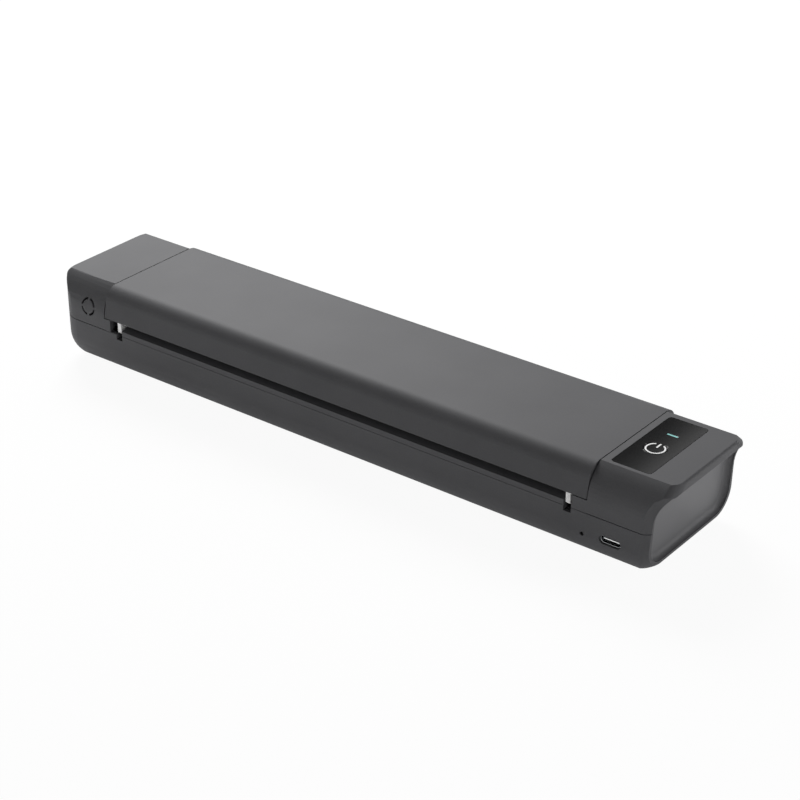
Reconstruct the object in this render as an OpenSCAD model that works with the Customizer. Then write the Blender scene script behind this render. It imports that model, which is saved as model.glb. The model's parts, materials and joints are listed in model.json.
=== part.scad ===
// Portable A4 thermal printer: a long slim casing with a fixed block at each
// end and a hinged top cover between them. The cover carries the platen roller,
// the casing carries the print head, motor, gears, battery and main board.
// Origin: centre of the base on the table. +X runs along the length towards
// the key panel, -Y is the paper exit side, +Z is up.

/* [Casing] */
// Overall length, from the left end to the lip of the right end
body_len = 300; // [296:1:312]
// Depth at the widest
body_depth = 61; // [60:0.5:64]
// How far each long side bows out past the flat top's crease line
bulge = 8; // [7:0.25:8.5]
// Height of the casing without its feet
body_h = 38.5; // [38.5:0.5:42]
// Wall of the casing
wall = 1.8; // [1.6:0.1:1.9]
// Radius of the bowed band under the crease lines
band_r = 15; // [13:0.5:17]
// Radius of the lower edges and of the left end's corners
edge_r = 12; // [11:0.5:13]
// Height of the parting line between the two cases, above the base
part_rise = 20.1; // [20.1:0.1:20.4]
// Length of the left block, from the end to the cover
left_block_len = 28; // [27:0.5:32]
// Length of the right block, from the cover to the lip
right_block_len = 32; // [31:0.5:35]
// Lean of the right end from upright, in degrees
end_lean = 2.9; // [2:0.1:4]
// How far the lip stands out past the rim at the top
lip_out = 5.2; // [4.8:0.1:5.6]
// Thickness of the lip
lip_t = 4.1; // [3.8:0.1:4.4]
// Depth of the recess in the right end
recess_depth = 2.6; // [2.2:0.1:3]
// Thickness of the panel that closes the right end
end_panel_t = 1.6; // [1.2:0.1:1.8]

/* [Cover] */
// Drop of the cover's lower edge below the top
cover_drop = 12.8; // [12.4:0.1:13]
// Radius of the cover's long edges
cover_edge_r = 6.5; // [6:0.1:7]
// Lean of the cover's front and back, in degrees
cover_lean = 12; // [9:0.5:13]
// Wall of the cover
cover_wall = 1.8; // [1.5:0.1:1.9]
// Gap between the cover and each end block
cover_gap = 0.4; // [0.3:0.1:0.6]
// Hinge pin radius
hinge_r = 1.25; // [1:0.05:1.4]
// Hinge axis, measured in from the back
hinge_in = 5.5; // [5:0.1:6]
// Hinge axis, measured down from the top
hinge_drop = 7.5; // [7.2:0.1:8]

/* [Paper slot] */
// Drop of the slot floor's front edge below the top
slot_drop = 16.3; // [16:0.1:16.5]
// Depth of the sloping slot floor
chute_depth = 3.7; // [3.2:0.1:3.8]
// Rise of the slot floor over its depth
chute_rise = 1.4; // [1:0.1:1.5]
// Front slot opening, in from the cover's left end
slot_in_left = 3.4; // [3:0.1:3.8]
// Front slot opening, in from the cover's right end
slot_in_right = 6.4; // [6:0.1:6.8]

/* [Platen] */
// Platen axis, measured in from the front
platen_in = 6.7; // [6.6:0.1:7]
// Platen axis, measured down from the top
platen_drop = 11.8; // [11.6:0.1:12]
// Rubber roller radius
roller_r = 3.8; // [3.5:0.1:3.9]
// Platen shaft radius
platen_shaft_r = 1.5; // [1.3:0.05:1.6]
// White bearing collar radius
collar_r = 4.9; // [4.6:0.1:5]
// White bearing collar width
collar_w = 2.5; // [2.2:0.1:2.8]
// Left collar's middle, in from the cover's left end
collar_in_left = 8.5; // [8.2:0.1:8.8]
// Right collar's middle, in from the cover's right end
collar_in_right = 8.3; // [8:0.1:8.6]

/* [Gear train] */
// Gear module
gear_module = 0.5; // [0.48:0.01:0.52]
// Teeth of the platen gear
platen_teeth = 16; // [14:1:16]
// Teeth of the idler gear
idler_teeth = 22; // [20:2:22]
// Teeth of the motor pinion
pinion_teeth = 14; // [12:1:14]
// Face width of the gears
gear_w = 3; // [2.5:0.1:3.2]
// Motor radius
motor_r = 9; // [8:0.5:9]
// Motor length
motor_len = 16; // [13:0.5:17]

/* [Print head] */
// Length of the head's aluminium bar
head_len = 215; // [208:1:215]
// Depth of the head's bar, front to back
head_depth = 11.6; // [11:0.1:11.8]
// Thickness of the aluminium bar
head_bar_t = 2.8; // [2.4:0.1:3]
// Thickness of the ceramic strip
ceramic_t = 0.7; // [0.6:0.05:0.8]
// Head pivot rod radius
pivot_r = 1.25; // [1:0.05:1.3]

/* [Key panel] */
// Gloss panel width along the length of the casing
panel_w = 16.8; // [16:0.1:17]
// Gloss panel depth, front to back
panel_d = 40.9; // [38:0.1:41]
// Gloss panel thickness
panel_t = 1.2; // [1:0.05:1.3]
// Radius of the power key
key_r = 4.4; // [4:0.1:4.8]
// Travel of the power key
key_travel = 0.35; // [0.2:0.05:0.4]
// Length of the light bar
light_len = 4.4; // [4:0.1:5.5]
// Width of the light bar
light_w = 0.7; // [0.6:0.05:1]

/* [Power and boards] */
// Battery cell radius
cell_r = 9.1; // [8.5:0.1:9.1]
// Battery cell length
cell_len = 65; // [60:0.5:65]
// Main board length
board_len = 71.5; // [68:0.5:72]
// Main board's back edge, in from the back
board_back_in = 6.5; // [6.3:0.1:9.3]
// Circuit board thickness
board_t = 1.6; // [1.2:0.1:1.6]
// Underside of the main board above the base
board_rise = 8.4; // [8.2:0.1:8.6]
// Charging port shell width
port_w = 8.94; // [8.9:0.01:9]
// Charging port shell height
port_h = 3.26; // [3.2:0.01:3.3]
// Charging port shell depth
port_d = 7.3; // [6.8:0.1:7.4]

/* [Feet and screws] */
// Height of the rubber feet below the casing
foot_h = 0.8; // [0.6:0.1:1.2]
// Radius of the rubber feet
foot_r = 5; // [4:0.5:5.5]
// Radius of the case screws
screw_r = 1.2; // [1:0.05:1.3]

/* [Hidden] */
$fn = 64;

// Overrun of every cut, and the clearances of the fits
over = 1;
run_gap = 0.05;
free_gap = 0.3;

// Main planes and lines of the casing
x_left = -body_len / 2;
x_lip = body_len / 2;
half = body_depth / 2;
crease = half - bulge;
base_z = foot_h;
top_z = foot_h + body_h;
part_z = base_z + part_rise;
band_z = top_z - sqrt(band_r * band_r - (band_r - bulge) * (band_r - bulge));
floor_z = base_z + wall;
roof_z = top_z - wall;
corner_x = x_left + edge_r;
corner_y = half - edge_r;
cover_x0 = x_left + left_block_len;
cover_x1 = x_lip - right_block_len;

// Right end: the rim leans a little, the lip stands out past it at the top
rim_top_x = x_lip - lip_out;
rim_corner_r = 6.8;
rim_corner_len = 4.1;
rim_corner_out = 0.05;
rim_low_r = 9.5;
end_low_r = 13.4;
end_corner_in = 11.2;
end_low_x = rim_top_x - (body_h - end_low_r) * tan(end_lean)
  - sqrt(end_low_r * end_low_r - rim_low_r * rim_low_r);
end_low_y = half - end_corner_in;
left_top_r = 1.9;
groove_h = 0.3;
groove_deep = 0.45;
groove_mid_deep = 0.15;
lip_corner_r = 8;
lip_side_in = 2;
lip_nose_r = 1;
lip_tip_r = 5;
lip_tip_out = 0.45;
flare_drop = 16.3;
recess_side_in = 3.2;
recess_floor_t = 4.6;
recess_top_r = 8;
recess_low_r = 8.4;
ledge_w = 1.5;
ledge_t = 1.5;
end_fit = 0.1;

// Paper deck between the blocks
slot_z = top_z - slot_drop;
deck_t = 1.5;
chute_back_t = 0.2;
cover_z0 = top_z - cover_drop;
post_top_gap = 0.4;
front_rib_h = 5.6;
front_rib_t = 1.3;
collar_slot_w = 3.3;
collar_slot_low = 2.4;
collar_slot_in = 13;
gear_window_gap = 0.7;

// Platen, its collars and brackets
platen_y = -half + platen_in;
platen_z = top_z - platen_drop;
collar_x0 = cover_x0 + collar_in_left;
collar_x1 = cover_x1 - collar_in_right;
collar_hub_r = 2.4;
tab_in = 0.4;
tab_side_in = 0.25;
tab_len = 3.6;
tab_drop = 1.5;
tab_top_gap = 0.15;
tab_r = 1;
bracket_t = 1.5;
bracket_r = 3.6;
bracket_foot_len = 9;
bracket_foot_d = 11;
bracket_foot_t = 1.2;
bracket_neck_d = 6;
cover_boss_r = 2.4;
cover_boss_h = 3;
cover_screw_r = 0.9;
cover_screw_head_r = 1.8;
cover_screw_head_t = 1;
roller_end_gap = 0.5;
shaft_end_in = 0.2;
gear_gap = 0.5;

// Hinge
hinge_y = half - hinge_in;
hinge_z = top_z - hinge_drop;
knuckle_r = 2.8;
knuckle_len = 3.4;
pin_head_r = 1.9;
pin_head_t = 0.8;
pin_fit = 0.02;

// Guide plate inside the cover
guide_t = 1.2;
guide_rise = 0.6;
guide_front_in = 14;
guide_back_in = 13;
guide_rib_h = 0.9;
guide_rib_w = 1;
guide_rib_count = 12;
guide_post_r = 2.2;
guide_post_share = 0.36;

// Gear train
pressure_angle = 22;
backlash_share = 0.05;
addendum_share = 0.9;
dedendum_share = 1.15;
idler_back_angle = 20;
pinion_drop_angle = -25;
gear_x = cover_x0 + cover_gap + cover_wall + gear_gap;
platen_idler_len = gear_module * (platen_teeth + idler_teeth) / 2;
idler_pinion_len = gear_module * (idler_teeth + pinion_teeth) / 2;
idler_y = platen_y + platen_idler_len * sin(idler_back_angle);
idler_z = platen_z - platen_idler_len * cos(idler_back_angle);
pinion_y = idler_y + idler_pinion_len * cos(pinion_drop_angle);
pinion_z = idler_z + idler_pinion_len * sin(pinion_drop_angle);
platen_to_idler = atan2(idler_z - platen_z, idler_y - platen_y);
idler_to_pinion = atan2(pinion_z - idler_z, pinion_y - idler_y);
idler_turn = platen_to_idler + 180 + 180 / idler_teeth;
idler_slip = idler_turn - idler_to_pinion;
pinion_turn = idler_to_pinion + 180 + 180 / pinion_teeth - idler_slip * idler_teeth / pinion_teeth;
idler_post_r = 1.5;
idler_collar_r = 2.1;
idler_clip_r = 2;
motor_shaft_r = 1;
gear_plate_t = 1.2;
gear_plate_gap = 0.3;
gear_plate_x = cover_x0 - wall - gear_plate_gap - gear_plate_t;
gear_plate_front_in = 3.5;
gear_plate_margin = 1.3;
gear_plate_clear = 0.1;
gear_plate_over = 3.5;
gear_plate_h = idler_z + gear_plate_over - floor_z;
motor_ear_r = 2.6;
motor_ear_len = 12;
gear_plate_y0 = -half + gear_plate_front_in;
gear_plate_y1 = pinion_y + motor_ear_len + motor_ear_r + gear_plate_margin;
motor_ear_t = 1;
motor_screw_r = 0.95;
motor_screw_head_r = 1.8;
motor_screw_head_t = 1;
motor_boss_r = 3;
motor_cap_t = 2;
motor_cap_r = 7;

// Print head
head_x0 = collar_x0 + collar_w / 2 + bracket_t + roller_end_gap;
head_front_gap = 0.4;
head_y0 = -half + chute_depth + chute_back_t + head_front_gap;
head_top_z = platen_z - roller_r - free_gap;
head_bar_z0 = head_top_z - ceramic_t - head_bar_t;
ceramic_d = 10.6;
driver_d = 2.2;
driver_t = 0.4;
driver_in = 0.6;
pivot_behind = 1.9;
pivot_rise = 1.1;
pivot_y = head_y0 + head_depth + pivot_behind;
pivot_z = head_bar_z0 + pivot_rise;
pivot_lug_r = 2.3;
pivot_lug_w = 3;
pivot_lug_in = 4;
pivot_ear_t = 2;
pivot_ear_gap = 0.3;
pivot_end = 0.4;
deck_y0 = pivot_y + pivot_lug_r + free_gap;
spring_r = 2.2;
spring_wire_r = 0.35;
spring_turns = 5;
spring_seat_h = 11.7;
spring_seat_z = base_z + spring_seat_h;
spring_seat_r = 3.4;
spring_peg_r = 1.5;
spring_peg_h = 1.5;
spring_gap = 0.05;
spring_back = 3.8;
spring_x_shares = [-0.32, 0.22];
connector_len = 20;
connector_d = 4;
connector_t = 2;
connector_end_in = 19.75;
connector_x = head_x0 + head_len - connector_end_in;
connector_in = 7;
cable_t = 0.3;
cable_w = 16;

// Key panel
panel_in = 20.8;
panel_x = x_lip - panel_in;
panel_y = -0.6;
panel_r = 1.5;
panel_fit = 0.08;
pad_t = 1;
pad_z0 = roof_z - pad_t;
pad_edge = 1.2;
key_aside = 0.2;
key_before = 3.2;
key_x = panel_x - key_aside;
key_y = panel_y - key_before;
key_gap = 0.1;
key_sink = 0.1;
key_flange_r = 5.2;
key_flange_t = 0.8;
key_flange_gap = 0.25;
key_stem_r = 1.6;
key_stem_len = 1;
symbol_t = 0.07;
symbol_r = 3.85;
symbol_w = 0.62;
symbol_open = 52;
symbol_bar = 3.1;
light_behind = 8.55;
light_y = panel_y + light_behind;
light_fit = 0.05;
light_bar_len = 4.9;
key_board_drop = 6.8;
key_board_t = 1.2;
key_board_w = 17;
key_board_y0 = -19;
key_board_y1 = 15.5;
key_board_z1 = top_z - key_board_drop;
key_post_r = 2.2;
key_post_ys = [-16, 13];
key_screw_r = 0.8;
key_screw_head_r = 1.7;
key_screw_head_t = 0.9;
switch_w = 6;
switch_h = 2.2;
plunger_r = 1.7;
plunger_deep = 0.9;
led_w = 3.2;
led_d = 1.6;

// Buzzer and its vent
buzzer_from_end = 18.7;
buzzer_drop = 10.6;
buzzer_x = x_left + buzzer_from_end;
buzzer_z = top_z - buzzer_drop;
buzzer_r = 4.6;
buzzer_len = 4.2;
buzzer_in = 4.5;
buzzer_cup_t = 1;
vent_r = 3.4;
vent_w = 0.9;
vent_arc = 72;
vent_turn = 10;

// Paper sensor
sensor_x = 0;
sensor_behind = 3.5;
sensor_y = deck_y0 + sensor_behind;
sensor_w = 6;
sensor_d = 3.6;
sensor_flange = 1.2;
sensor_flange_t = 1;
sensor_sink = 0.2;
sensor_fit = 0.1;

// Battery
cell_gap = 0.2;
cell_space = 1.5;
cell_from_cover = 27;
cell_back_in = 14.5;
cell_x = cover_x0 + cell_from_cover;
cell_y = half - cell_back_in;
cell_z = floor_z + cell_gap + cell_r;
cell_cap_r = 3;
cell_cap_h = 0.8;
sleeve_t = 0.15;
sleeve_over = 0.5;
cradle_t = 1.6;
cradle_h = 6;
cradle_shares = [0.08, 0.42, 0.58, 0.92];
lead_r = 1.1;

// Main board
board_from_lip = 88;
board_x0 = x_lip - board_from_lip;
board_front_in = 3.7;
board_y0 = -half + board_front_in;
board_y1 = half - board_back_in;
board_d = board_y1 - board_y0;
board_z0 = base_z + board_rise;
board_z1 = board_z0 + board_t;
board_r = 1;
board_boss_r = 2.8;
board_screw_r = 1;
board_screw_head_r = 2;
board_screw_head_t = 1.1;
board_pilot_deep = 5;
board_screw_in = 4;
board_screw_front_in = 9.8;
board_screw_back_in = 7;
board_screw_side_in = 12;
board_screw_side_front_in = 13.8;
port_from_lip = 21.8;
port_x = x_lip - port_from_lip;
port_front_in = 1;
port_y0 = -half + port_front_in;
port_t = 0.3;
port_tongue_w = 6.7;
port_tongue_t = 0.7;
port_tongue_d = 4.8;
port_back_t = 1.2;
port_hole_gap = 0.15;
pin_from_lip = 33.7;
pin_x = x_lip - pin_from_lip;
pin_r = 0.85;
reset_w = 4;
reset_d = 2.8;
reset_h = 1.8;
reset_front_in = 4.3;
reset_y0 = -half + reset_front_in;
reset_tip = 1;
reset_tip_r = 0.45;
reset_tip_deep = 0.8;
reset_travel = 0.25;

// What stands on the main board
socket_w = 6;
socket_d = 4;
socket_h = 3;
socket_out = 0.6;
socket_front_in = 16.8;
battery_socket_in = 34.8;
motor_socket_in = 27.8;
socket_y = board_y0 + socket_front_in;
battery_socket_y = board_y0 + battery_socket_in;
motor_socket_y = board_y0 + motor_socket_in;
motor_lead_y = cell_y - cell_r - lead_r - 2 * free_gap;
lead_end_gap = 0.2;
chip_t = 1.1;
capacitor_r = 3.1;
capacitor_h = 8;
capacitor_in = 30;
capacitor_back_in = 8;
capacitor_y = board_y1 - capacitor_back_in;
radio_len = 16;
radio_d = 20;
radio_from_lip = 46;
radio_x = x_lip - radio_from_lip;
radio_back_in = 7;
radio_y = board_y1 - radio_back_in - radio_d;
radio_edge = 1;
radio_board_t = 0.8;
radio_can_t = 1.6;
key_screw_reach = 3.5;
foot_bevel = 0.4;

// Case screws and feet
case_screw_y = 19;
case_screw_left_in = 14;
case_screw_right_in = 24;
case_screw_mid_y = -3;
case_screw_mid_left_in = 25;
case_screw_mid_right_in = 68;
case_screw_spots = [
  [x_left + case_screw_left_in, case_screw_y],
  [cover_x0 + case_screw_mid_left_in, case_screw_mid_y],
  [cover_x1 - case_screw_mid_right_in, case_screw_mid_y],
  [x_lip - case_screw_right_in, case_screw_y]];
screw_meet_h = 11.2;
screw_meet_z = base_z + screw_meet_h;
screw_head_r = 2.3;
screw_head_t = 1.4;
screw_sink = 3.2;
screw_post_r = 3.3;
screw_column_r = 2.8;
screw_reach = 5;
foot_sink = 0.6;
foot_x_in = 24;
foot_x_in_right = 34;
foot_y = 14;

// Edge profile of the casing, from edge_r inside the widest outline outwards:
// bowed band, upright side and round lower edge
module edge_profile(inset, z_low, z_high) {
  intersection() {
    translate([0, z_low]) square([edge_r, z_high - z_low]);
    union() {
      intersection() {
        translate([edge_r - band_r, band_z]) circle(r = band_r - inset, $fn = 180);
        translate([0, band_z]) square([edge_r, body_h]);
      }
      translate([0, base_z + edge_r])
        square([edge_r - inset, band_z - base_z - edge_r]);
      intersection() {
        translate([0, base_z + edge_r]) circle(r = edge_r - inset, $fn = 96);
        translate([0, base_z]) square([edge_r, edge_r]);
      }
    }
  }
}

// Whole cross-section of the casing
module casing_section(inset, z_low, z_high) {
  translate([corner_y, 0]) edge_profile(inset, z_low, z_high);
  mirror([1, 0]) translate([corner_y, 0]) edge_profile(inset, z_low, z_high);
  translate([-corner_y, z_low]) square([2 * corner_y, z_high - z_low]);
}

// Extrudes a section drawn in Y and Z along X
module along_x(x0, x1) {
  translate([x0, 0, 0]) rotate([90, 0, 90]) linear_extrude(x1 - x0) children();
}

// Profile of an upright end: round below, and round along the top on the outside
module left_profile(inset) {
  low_z = base_z + edge_r - rim_corner_out;
  high_z = top_z - left_top_r + rim_corner_out;
  r = edge_r - inset;
  translate([0, low_z]) square([r, high_z - low_z]);
  intersection() {
    translate([0, low_z]) circle(r = r, $fn = 96);
    translate([0, low_z - r]) square([r, r]);
  }
  translate([0, high_z]) square([edge_r - left_top_r, left_top_r]);
  if (inset == 0) translate([edge_r - left_top_r, high_z]) intersection() {
    circle(r = left_top_r);
    square([left_top_r, left_top_r]);
  }
}

// Zone inside the upright left end with its two round corners
module left_zone(inset) {
  centre_y = corner_y + rim_corner_out;
  translate([corner_x, centre_y, 0]) rotate([90, 0, 0]) linear_extrude(2 * centre_y)
    mirror([1, 0]) left_profile(inset);
  for (side = [-1, 1]) translate([corner_x, side * centre_y, 0])
    rotate([0, 0, side > 0 ? 90 : 180]) rotate_extrude(angle = 90) left_profile(inset);
  translate([corner_x, -half - over, -body_h])
    cube([cover_x1 - corner_x, body_depth + 2 * over, 3 * body_h]);
}

module at_rim() {
  translate([rim_top_x, 0, top_z]) rotate([0, end_lean, 0]) children();
}

// Zone inside the leaning rim with its two rounded upright edges
module rim_zone() {
  centre_y = half + rim_corner_out - rim_corner_r;
  at_rim() translate([0, 0, -1.3 * body_h]) linear_extrude(1.6 * body_h) {
    translate([-right_block_len - body_h, -half - over])
      square([right_block_len + body_h - rim_corner_len, body_depth + 2 * over]);
    translate([-rim_corner_len, -centre_y]) square([rim_corner_len, 2 * centre_y]);
    for (side = [-1, 1]) intersection() {
      translate([-rim_corner_len, side * centre_y]) circle(r = rim_corner_r, $fn = 96);
      translate([-rim_corner_len, side > 0 ? centre_y : -centre_y - rim_corner_r])
        square([rim_corner_len, rim_corner_r]);
    }
  }
}

// Profile of the round lower edge of the right end, and the upright side above it
module end_low_profile() {
  centre_z = base_z + end_low_r - rim_corner_out;
  translate([0, centre_z]) square([end_low_r, body_h]);
  intersection() {
    translate([0, centre_z]) circle(r = end_low_r, $fn = 96);
    translate([0, centre_z - end_low_r]) square([end_low_r, end_low_r]);
  }
}

// Zone inside the round lower end, whose corners cut the rim's outline to rim_low_r
module end_round_zone() {
  translate([end_low_x, -half - over, -body_h]) mirror([1, 0, 0])
    cube([right_block_len, body_depth + 2 * over, 3 * body_h]);
  translate([end_low_x, end_low_y, 0]) rotate([90, 0, 0]) linear_extrude(2 * end_low_y)
    end_low_profile();
  for (side = [-1, 1]) translate([end_low_x, side * end_low_y, 0])
    rotate([0, 0, side > 0 ? 0 : -90]) rotate_extrude(angle = 90) end_low_profile();
}

// Groove round the casing just under the parting line
module parting_groove() {
  deep = groove_deep;
  translate([0, 0, part_z - groove_h]) linear_extrude(groove_h + over) difference() {
    translate([x_left - over, -half - over]) square([body_len + 2 * over, body_depth + 2 * over]);
    intersection() {
      union() {
        translate([x_left, -half + deep]) square([body_len, body_depth - 2 * deep]);
        translate([cover_x0, -half + groove_mid_deep])
          square([cover_x1 - cover_x0, body_depth - 2 * groove_mid_deep]);
      }
      union() {
        for (side = [-1, 1]) {
          translate([corner_x, side * corner_y]) circle(r = edge_r - deep, $fn = 96);
          translate([end_low_x, side * end_low_y]) circle(r = end_low_r - deep, $fn = 96);
        }
        translate([corner_x, -half]) square([end_low_x - corner_x, body_depth]);
        translate([x_left + deep, -corner_y]) square([edge_r, 2 * corner_y]);
        translate([end_low_x, -end_low_y]) square([body_h, 2 * end_low_y]);
      }
    }
  }
}

// Lip profile in X and Z: an upright nose over a long hollow flare from the rim
module lip_profile() {
  low_z = top_z - lip_t;
  flare_z = top_z - flare_drop;
  rim_x = rim_top_x - flare_drop * tan(end_lean) + rim_corner_out;
  run = x_lip - lip_nose_r - rim_x;
  rise = low_z - flare_z;
  flare_r = (run * run + rise * rise) / (2 * run);
  for (z = [low_z + lip_nose_r, top_z - lip_nose_r])
    translate([x_lip - lip_nose_r, z]) circle(r = lip_nose_r);
  translate([x_lip - lip_nose_r, low_z + lip_nose_r])
    square([lip_nose_r, lip_t - 2 * lip_nose_r]);
  translate([rim_x - right_block_len / 2, low_z]) square([right_block_len / 2 + run, lip_t]);
  difference() {
    translate([rim_x - right_block_len / 2, flare_z]) square([right_block_len / 2 + run, rise]);
    translate([rim_x + flare_r, flare_z]) circle(r = flare_r, $fn = 192);
  }
}

// What a round corner takes off the lip, leaning out as the band under the crease does
module lip_tip_cut() {
  low_half = half - band_r + sqrt(band_r * band_r - pow(top_z - lip_t - band_z, 2));
  translate([x_lip - lip_tip_r, crease, top_z]) rotate([atan2(low_half - crease, lip_t), 0, 0])
    translate([0, lip_tip_out - lip_tip_r, -5 * lip_t]) linear_extrude(6 * lip_t) difference() {
      square([lip_tip_r + over, lip_tip_r + over]);
      circle(r = lip_tip_r, $fn = 96);
    }
}

// Zone of the lip with round corners
module lip_zone() {
  lip_half = half - lip_side_in;
  difference() {
    intersection() {
      translate([0, half, 0]) rotate([90, 0, 0]) linear_extrude(body_depth) lip_profile();
      translate([0, 0, part_z]) linear_extrude(body_h) {
        translate([rim_top_x - right_block_len, -lip_half])
          square([right_block_len + lip_out - lip_corner_r, 2 * lip_half]);
        translate([x_lip - lip_corner_r, -lip_half + lip_corner_r])
          square([lip_corner_r, 2 * (lip_half - lip_corner_r)]);
        for (side = [-1, 1])
          translate([x_lip - lip_corner_r, side * (lip_half - lip_corner_r)])
            circle(r = lip_corner_r, $fn = 96);
      }
    }
    for (side = [0, 1]) mirror([0, side, 0]) lip_tip_cut();
  }
}

// Outline of the recess in the right end, drawn in the rim's own plane
module recess_outline(inset) {
  wide = half - recess_side_in - inset;
  high = lip_out * tan(end_lean) - lip_t - inset;
  low = -(body_h - recess_floor_t) / cos(end_lean) + inset;
  top_r = recess_top_r - inset;
  low_r = recess_low_r - inset;
  translate([-wide, low + low_r]) square([2 * wide, high - top_r - low - low_r]);
  translate([-wide + low_r, low]) square([2 * (wide - low_r), low_r]);
  translate([-wide + top_r, high - top_r]) square([2 * (wide - top_r), top_r]);
  for (side = [-1, 1]) {
    translate([side * (wide - low_r), low + low_r]) circle(r = low_r, $fn = 96);
    translate([side * (wide - top_r), high - top_r]) circle(r = top_r);
  }
}

// Slab of the recess outline between two depths behind the rim
module recess_slab(deep, shallow, inset) {
  at_rim() translate([-deep, 0, 0]) rotate([90, 0, 90]) linear_extrude(deep - shallow)
    recess_outline(inset);
}

module end_recess() {
  recess_slab(recess_depth + end_panel_t, -lip_out - over, 0);
}

// Solid casing between two heights, without its cavity
module casing_solid(z_low, z_high) {
  intersection() {
    along_x(x_left - over, x_lip + over) casing_section(0, z_low, z_high);
    union() {
      left_zone(0);
      intersection() {
        rim_zone();
        end_round_zone();
      }
      lip_zone();
    }
  }
}

// Inside of the casing from the left end to the ledge of the end panel
module casing_cavity(z_low, z_high) {
  intersection() {
    along_x(x_left, cover_x1) casing_section(wall, z_low, z_high);
    left_zone(wall);
  }
  intersection() {
    along_x(cover_x1, x_lip) casing_section(wall, z_low, z_high);
    at_rim() translate([-body_len, -half, -1.3 * body_h])
      cube([body_len - recess_depth - end_panel_t - ledge_t, body_depth, 1.6 * body_h]);
  }
  recess_slab(recess_depth + end_panel_t + ledge_t + over, recess_depth, ledge_w);
}

module case_screw_posts(z0, z1, r) {
  for (spot = case_screw_spots) translate([spot.x, spot.y, z0]) cylinder(r = r, h = z1 - z0);
}

// Paper deck, slot floor and back strip between the two blocks
module deck_section() {
  chute_back = -half + chute_depth;
  polygon([[-half, part_z], [-half, slot_z], [chute_back, slot_z + chute_rise],
    [chute_back + chute_back_t, slot_z + chute_rise], [chute_back + chute_back_t, part_z]]);
  translate([deck_y0, slot_z - deck_t]) square([half - deck_y0, deck_t]);
  translate([half - wall, part_z]) square([wall, slot_z - part_z]);
}

module slot_post(x0, x1) {
  translate([x0, -half, part_z]) cube([x1 - x0, wall, cover_z0 - post_top_gap - part_z]);
}

module collar_slots() {
  for (x = [collar_x0, collar_x1])
    translate([x - collar_slot_w / 2, -half - over, part_z - collar_slot_low])
      cube([collar_slot_w, collar_slot_in + over, body_h]);
}

// Four arc slots in a ring for the buzzer's sound
module vent_arcs() {
  for (i = [0 : 3])
    translate([buzzer_x, -half + buzzer_in, buzzer_z]) rotate([90, 0, 0])
      rotate([0, 0, vent_turn + i * 90]) rotate_extrude(angle = vent_arc)
        translate([vent_r - vent_w / 2, -over]) square([vent_w, buzzer_in + 2 * over]);
}

module key_panel_recess() {
  translate([panel_x - panel_w / 2, panel_y - panel_d / 2, top_z - panel_t])
    rounded_slab(panel_w, panel_d, panel_t + over, panel_r);
}

// Slab with round corners, its lowest corner at the origin
module rounded_slab(w, d, h, r) {
  linear_extrude(h) {
    translate([r, 0]) square([w - 2 * r, d]);
    translate([0, r]) square([w, d - 2 * r]);
    for (x = [r, w - r], y = [r, d - r]) translate([x, y]) circle(r = r, $fn = 48);
  }
}

module top_case() {
  deck_x0 = cover_x0 - wall;
  deck_x1 = cover_x1 + wall;
  color("#454547") difference() {
    union() {
      difference() {
        casing_solid(part_z, top_z);
        casing_cavity(part_z - over, roof_z);
        translate([cover_x0, -half - over, part_z - over])
          cube([cover_x1 - cover_x0, body_depth + 2 * over, body_h]);
      }
      for (x = [deck_x0, cover_x1]) intersection() {
        along_x(x, x + wall) casing_section(wall / 2, part_z, top_z - wall / 2);
        translate([x, -half, part_z]) cube([wall, body_depth, body_h]);
      }
      along_x(cover_x0, cover_x1) deck_section();
      translate([deck_x0, -half + wall + free_gap, part_z - front_rib_h])
        cube([deck_x1 - deck_x0, front_rib_t, front_rib_h + wall / 2]);
      slot_post(cover_x0, cover_x0 + slot_in_left);
      slot_post(cover_x1 - slot_in_right, cover_x1);
      for (x = [head_x0 - pivot_ear_gap - pivot_ear_t, head_x0 + head_len + pivot_ear_gap])
        translate([x, pivot_y - pivot_lug_r, pivot_z - pivot_lug_r])
          cube([pivot_ear_t, 2 * pivot_lug_r + over, slot_z - pivot_z + pivot_lug_r]);
      key_panel_pad();
      buzzer_cup();
      case_screw_columns();
      for (y = key_post_ys)
        translate([key_x, y, key_board_z1]) cylinder(r = key_post_r, h = roof_z - key_board_z1);
    }
    end_recess();
    collar_slots();
    gear_window();
    key_panel_recess();
    translate([key_x, key_y, pad_z0 - over])
      cylinder(r = key_flange_r + free_gap, h = body_h);
    light_slot(pad_z0 - over, top_z + over, light_fit);
    for (y = key_post_ys) translate([key_x, y, key_board_z1 - over])
      cylinder(r = key_screw_r + run_gap, h = roof_z - pad_t - key_board_z1 + over, $fn = 32);
    for (x = [deck_x0, cover_x1]) translate([x - over, hinge_y, hinge_z]) rotate([0, 90, 0])
      cylinder(r = hinge_r + pin_fit, h = wall + 2 * over);
    translate([head_x0 - pivot_ear_t - over, pivot_y, pivot_z]) rotate([0, 90, 0])
      cylinder(r = pivot_r + pin_fit, h = head_len + 2 * pivot_ear_t + 2 * over);
    vent_arcs();
    translate([sensor_x - sensor_w / 2 - sensor_fit, sensor_y - sensor_d / 2 - sensor_fit, part_z])
      cube([sensor_w + 2 * sensor_fit, sensor_d + 2 * sensor_fit, body_h]);
    for (spot = case_screw_spots) translate([spot.x, spot.y, screw_meet_z - over])
      cylinder(r = screw_r + run_gap, h = screw_reach + 2 * over, $fn = 32);
  }
}

module key_panel_pad() {
  intersection() {
    translate([panel_x - panel_w / 2 - pad_edge, panel_y - panel_d / 2 - pad_edge, pad_z0])
      cube([panel_w + 2 * pad_edge, panel_d + 2 * pad_edge, pad_t + wall / 2]);
    along_x(cover_x1, x_lip) casing_section(wall / 2, part_z, top_z - wall / 2);
  }
}

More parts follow.
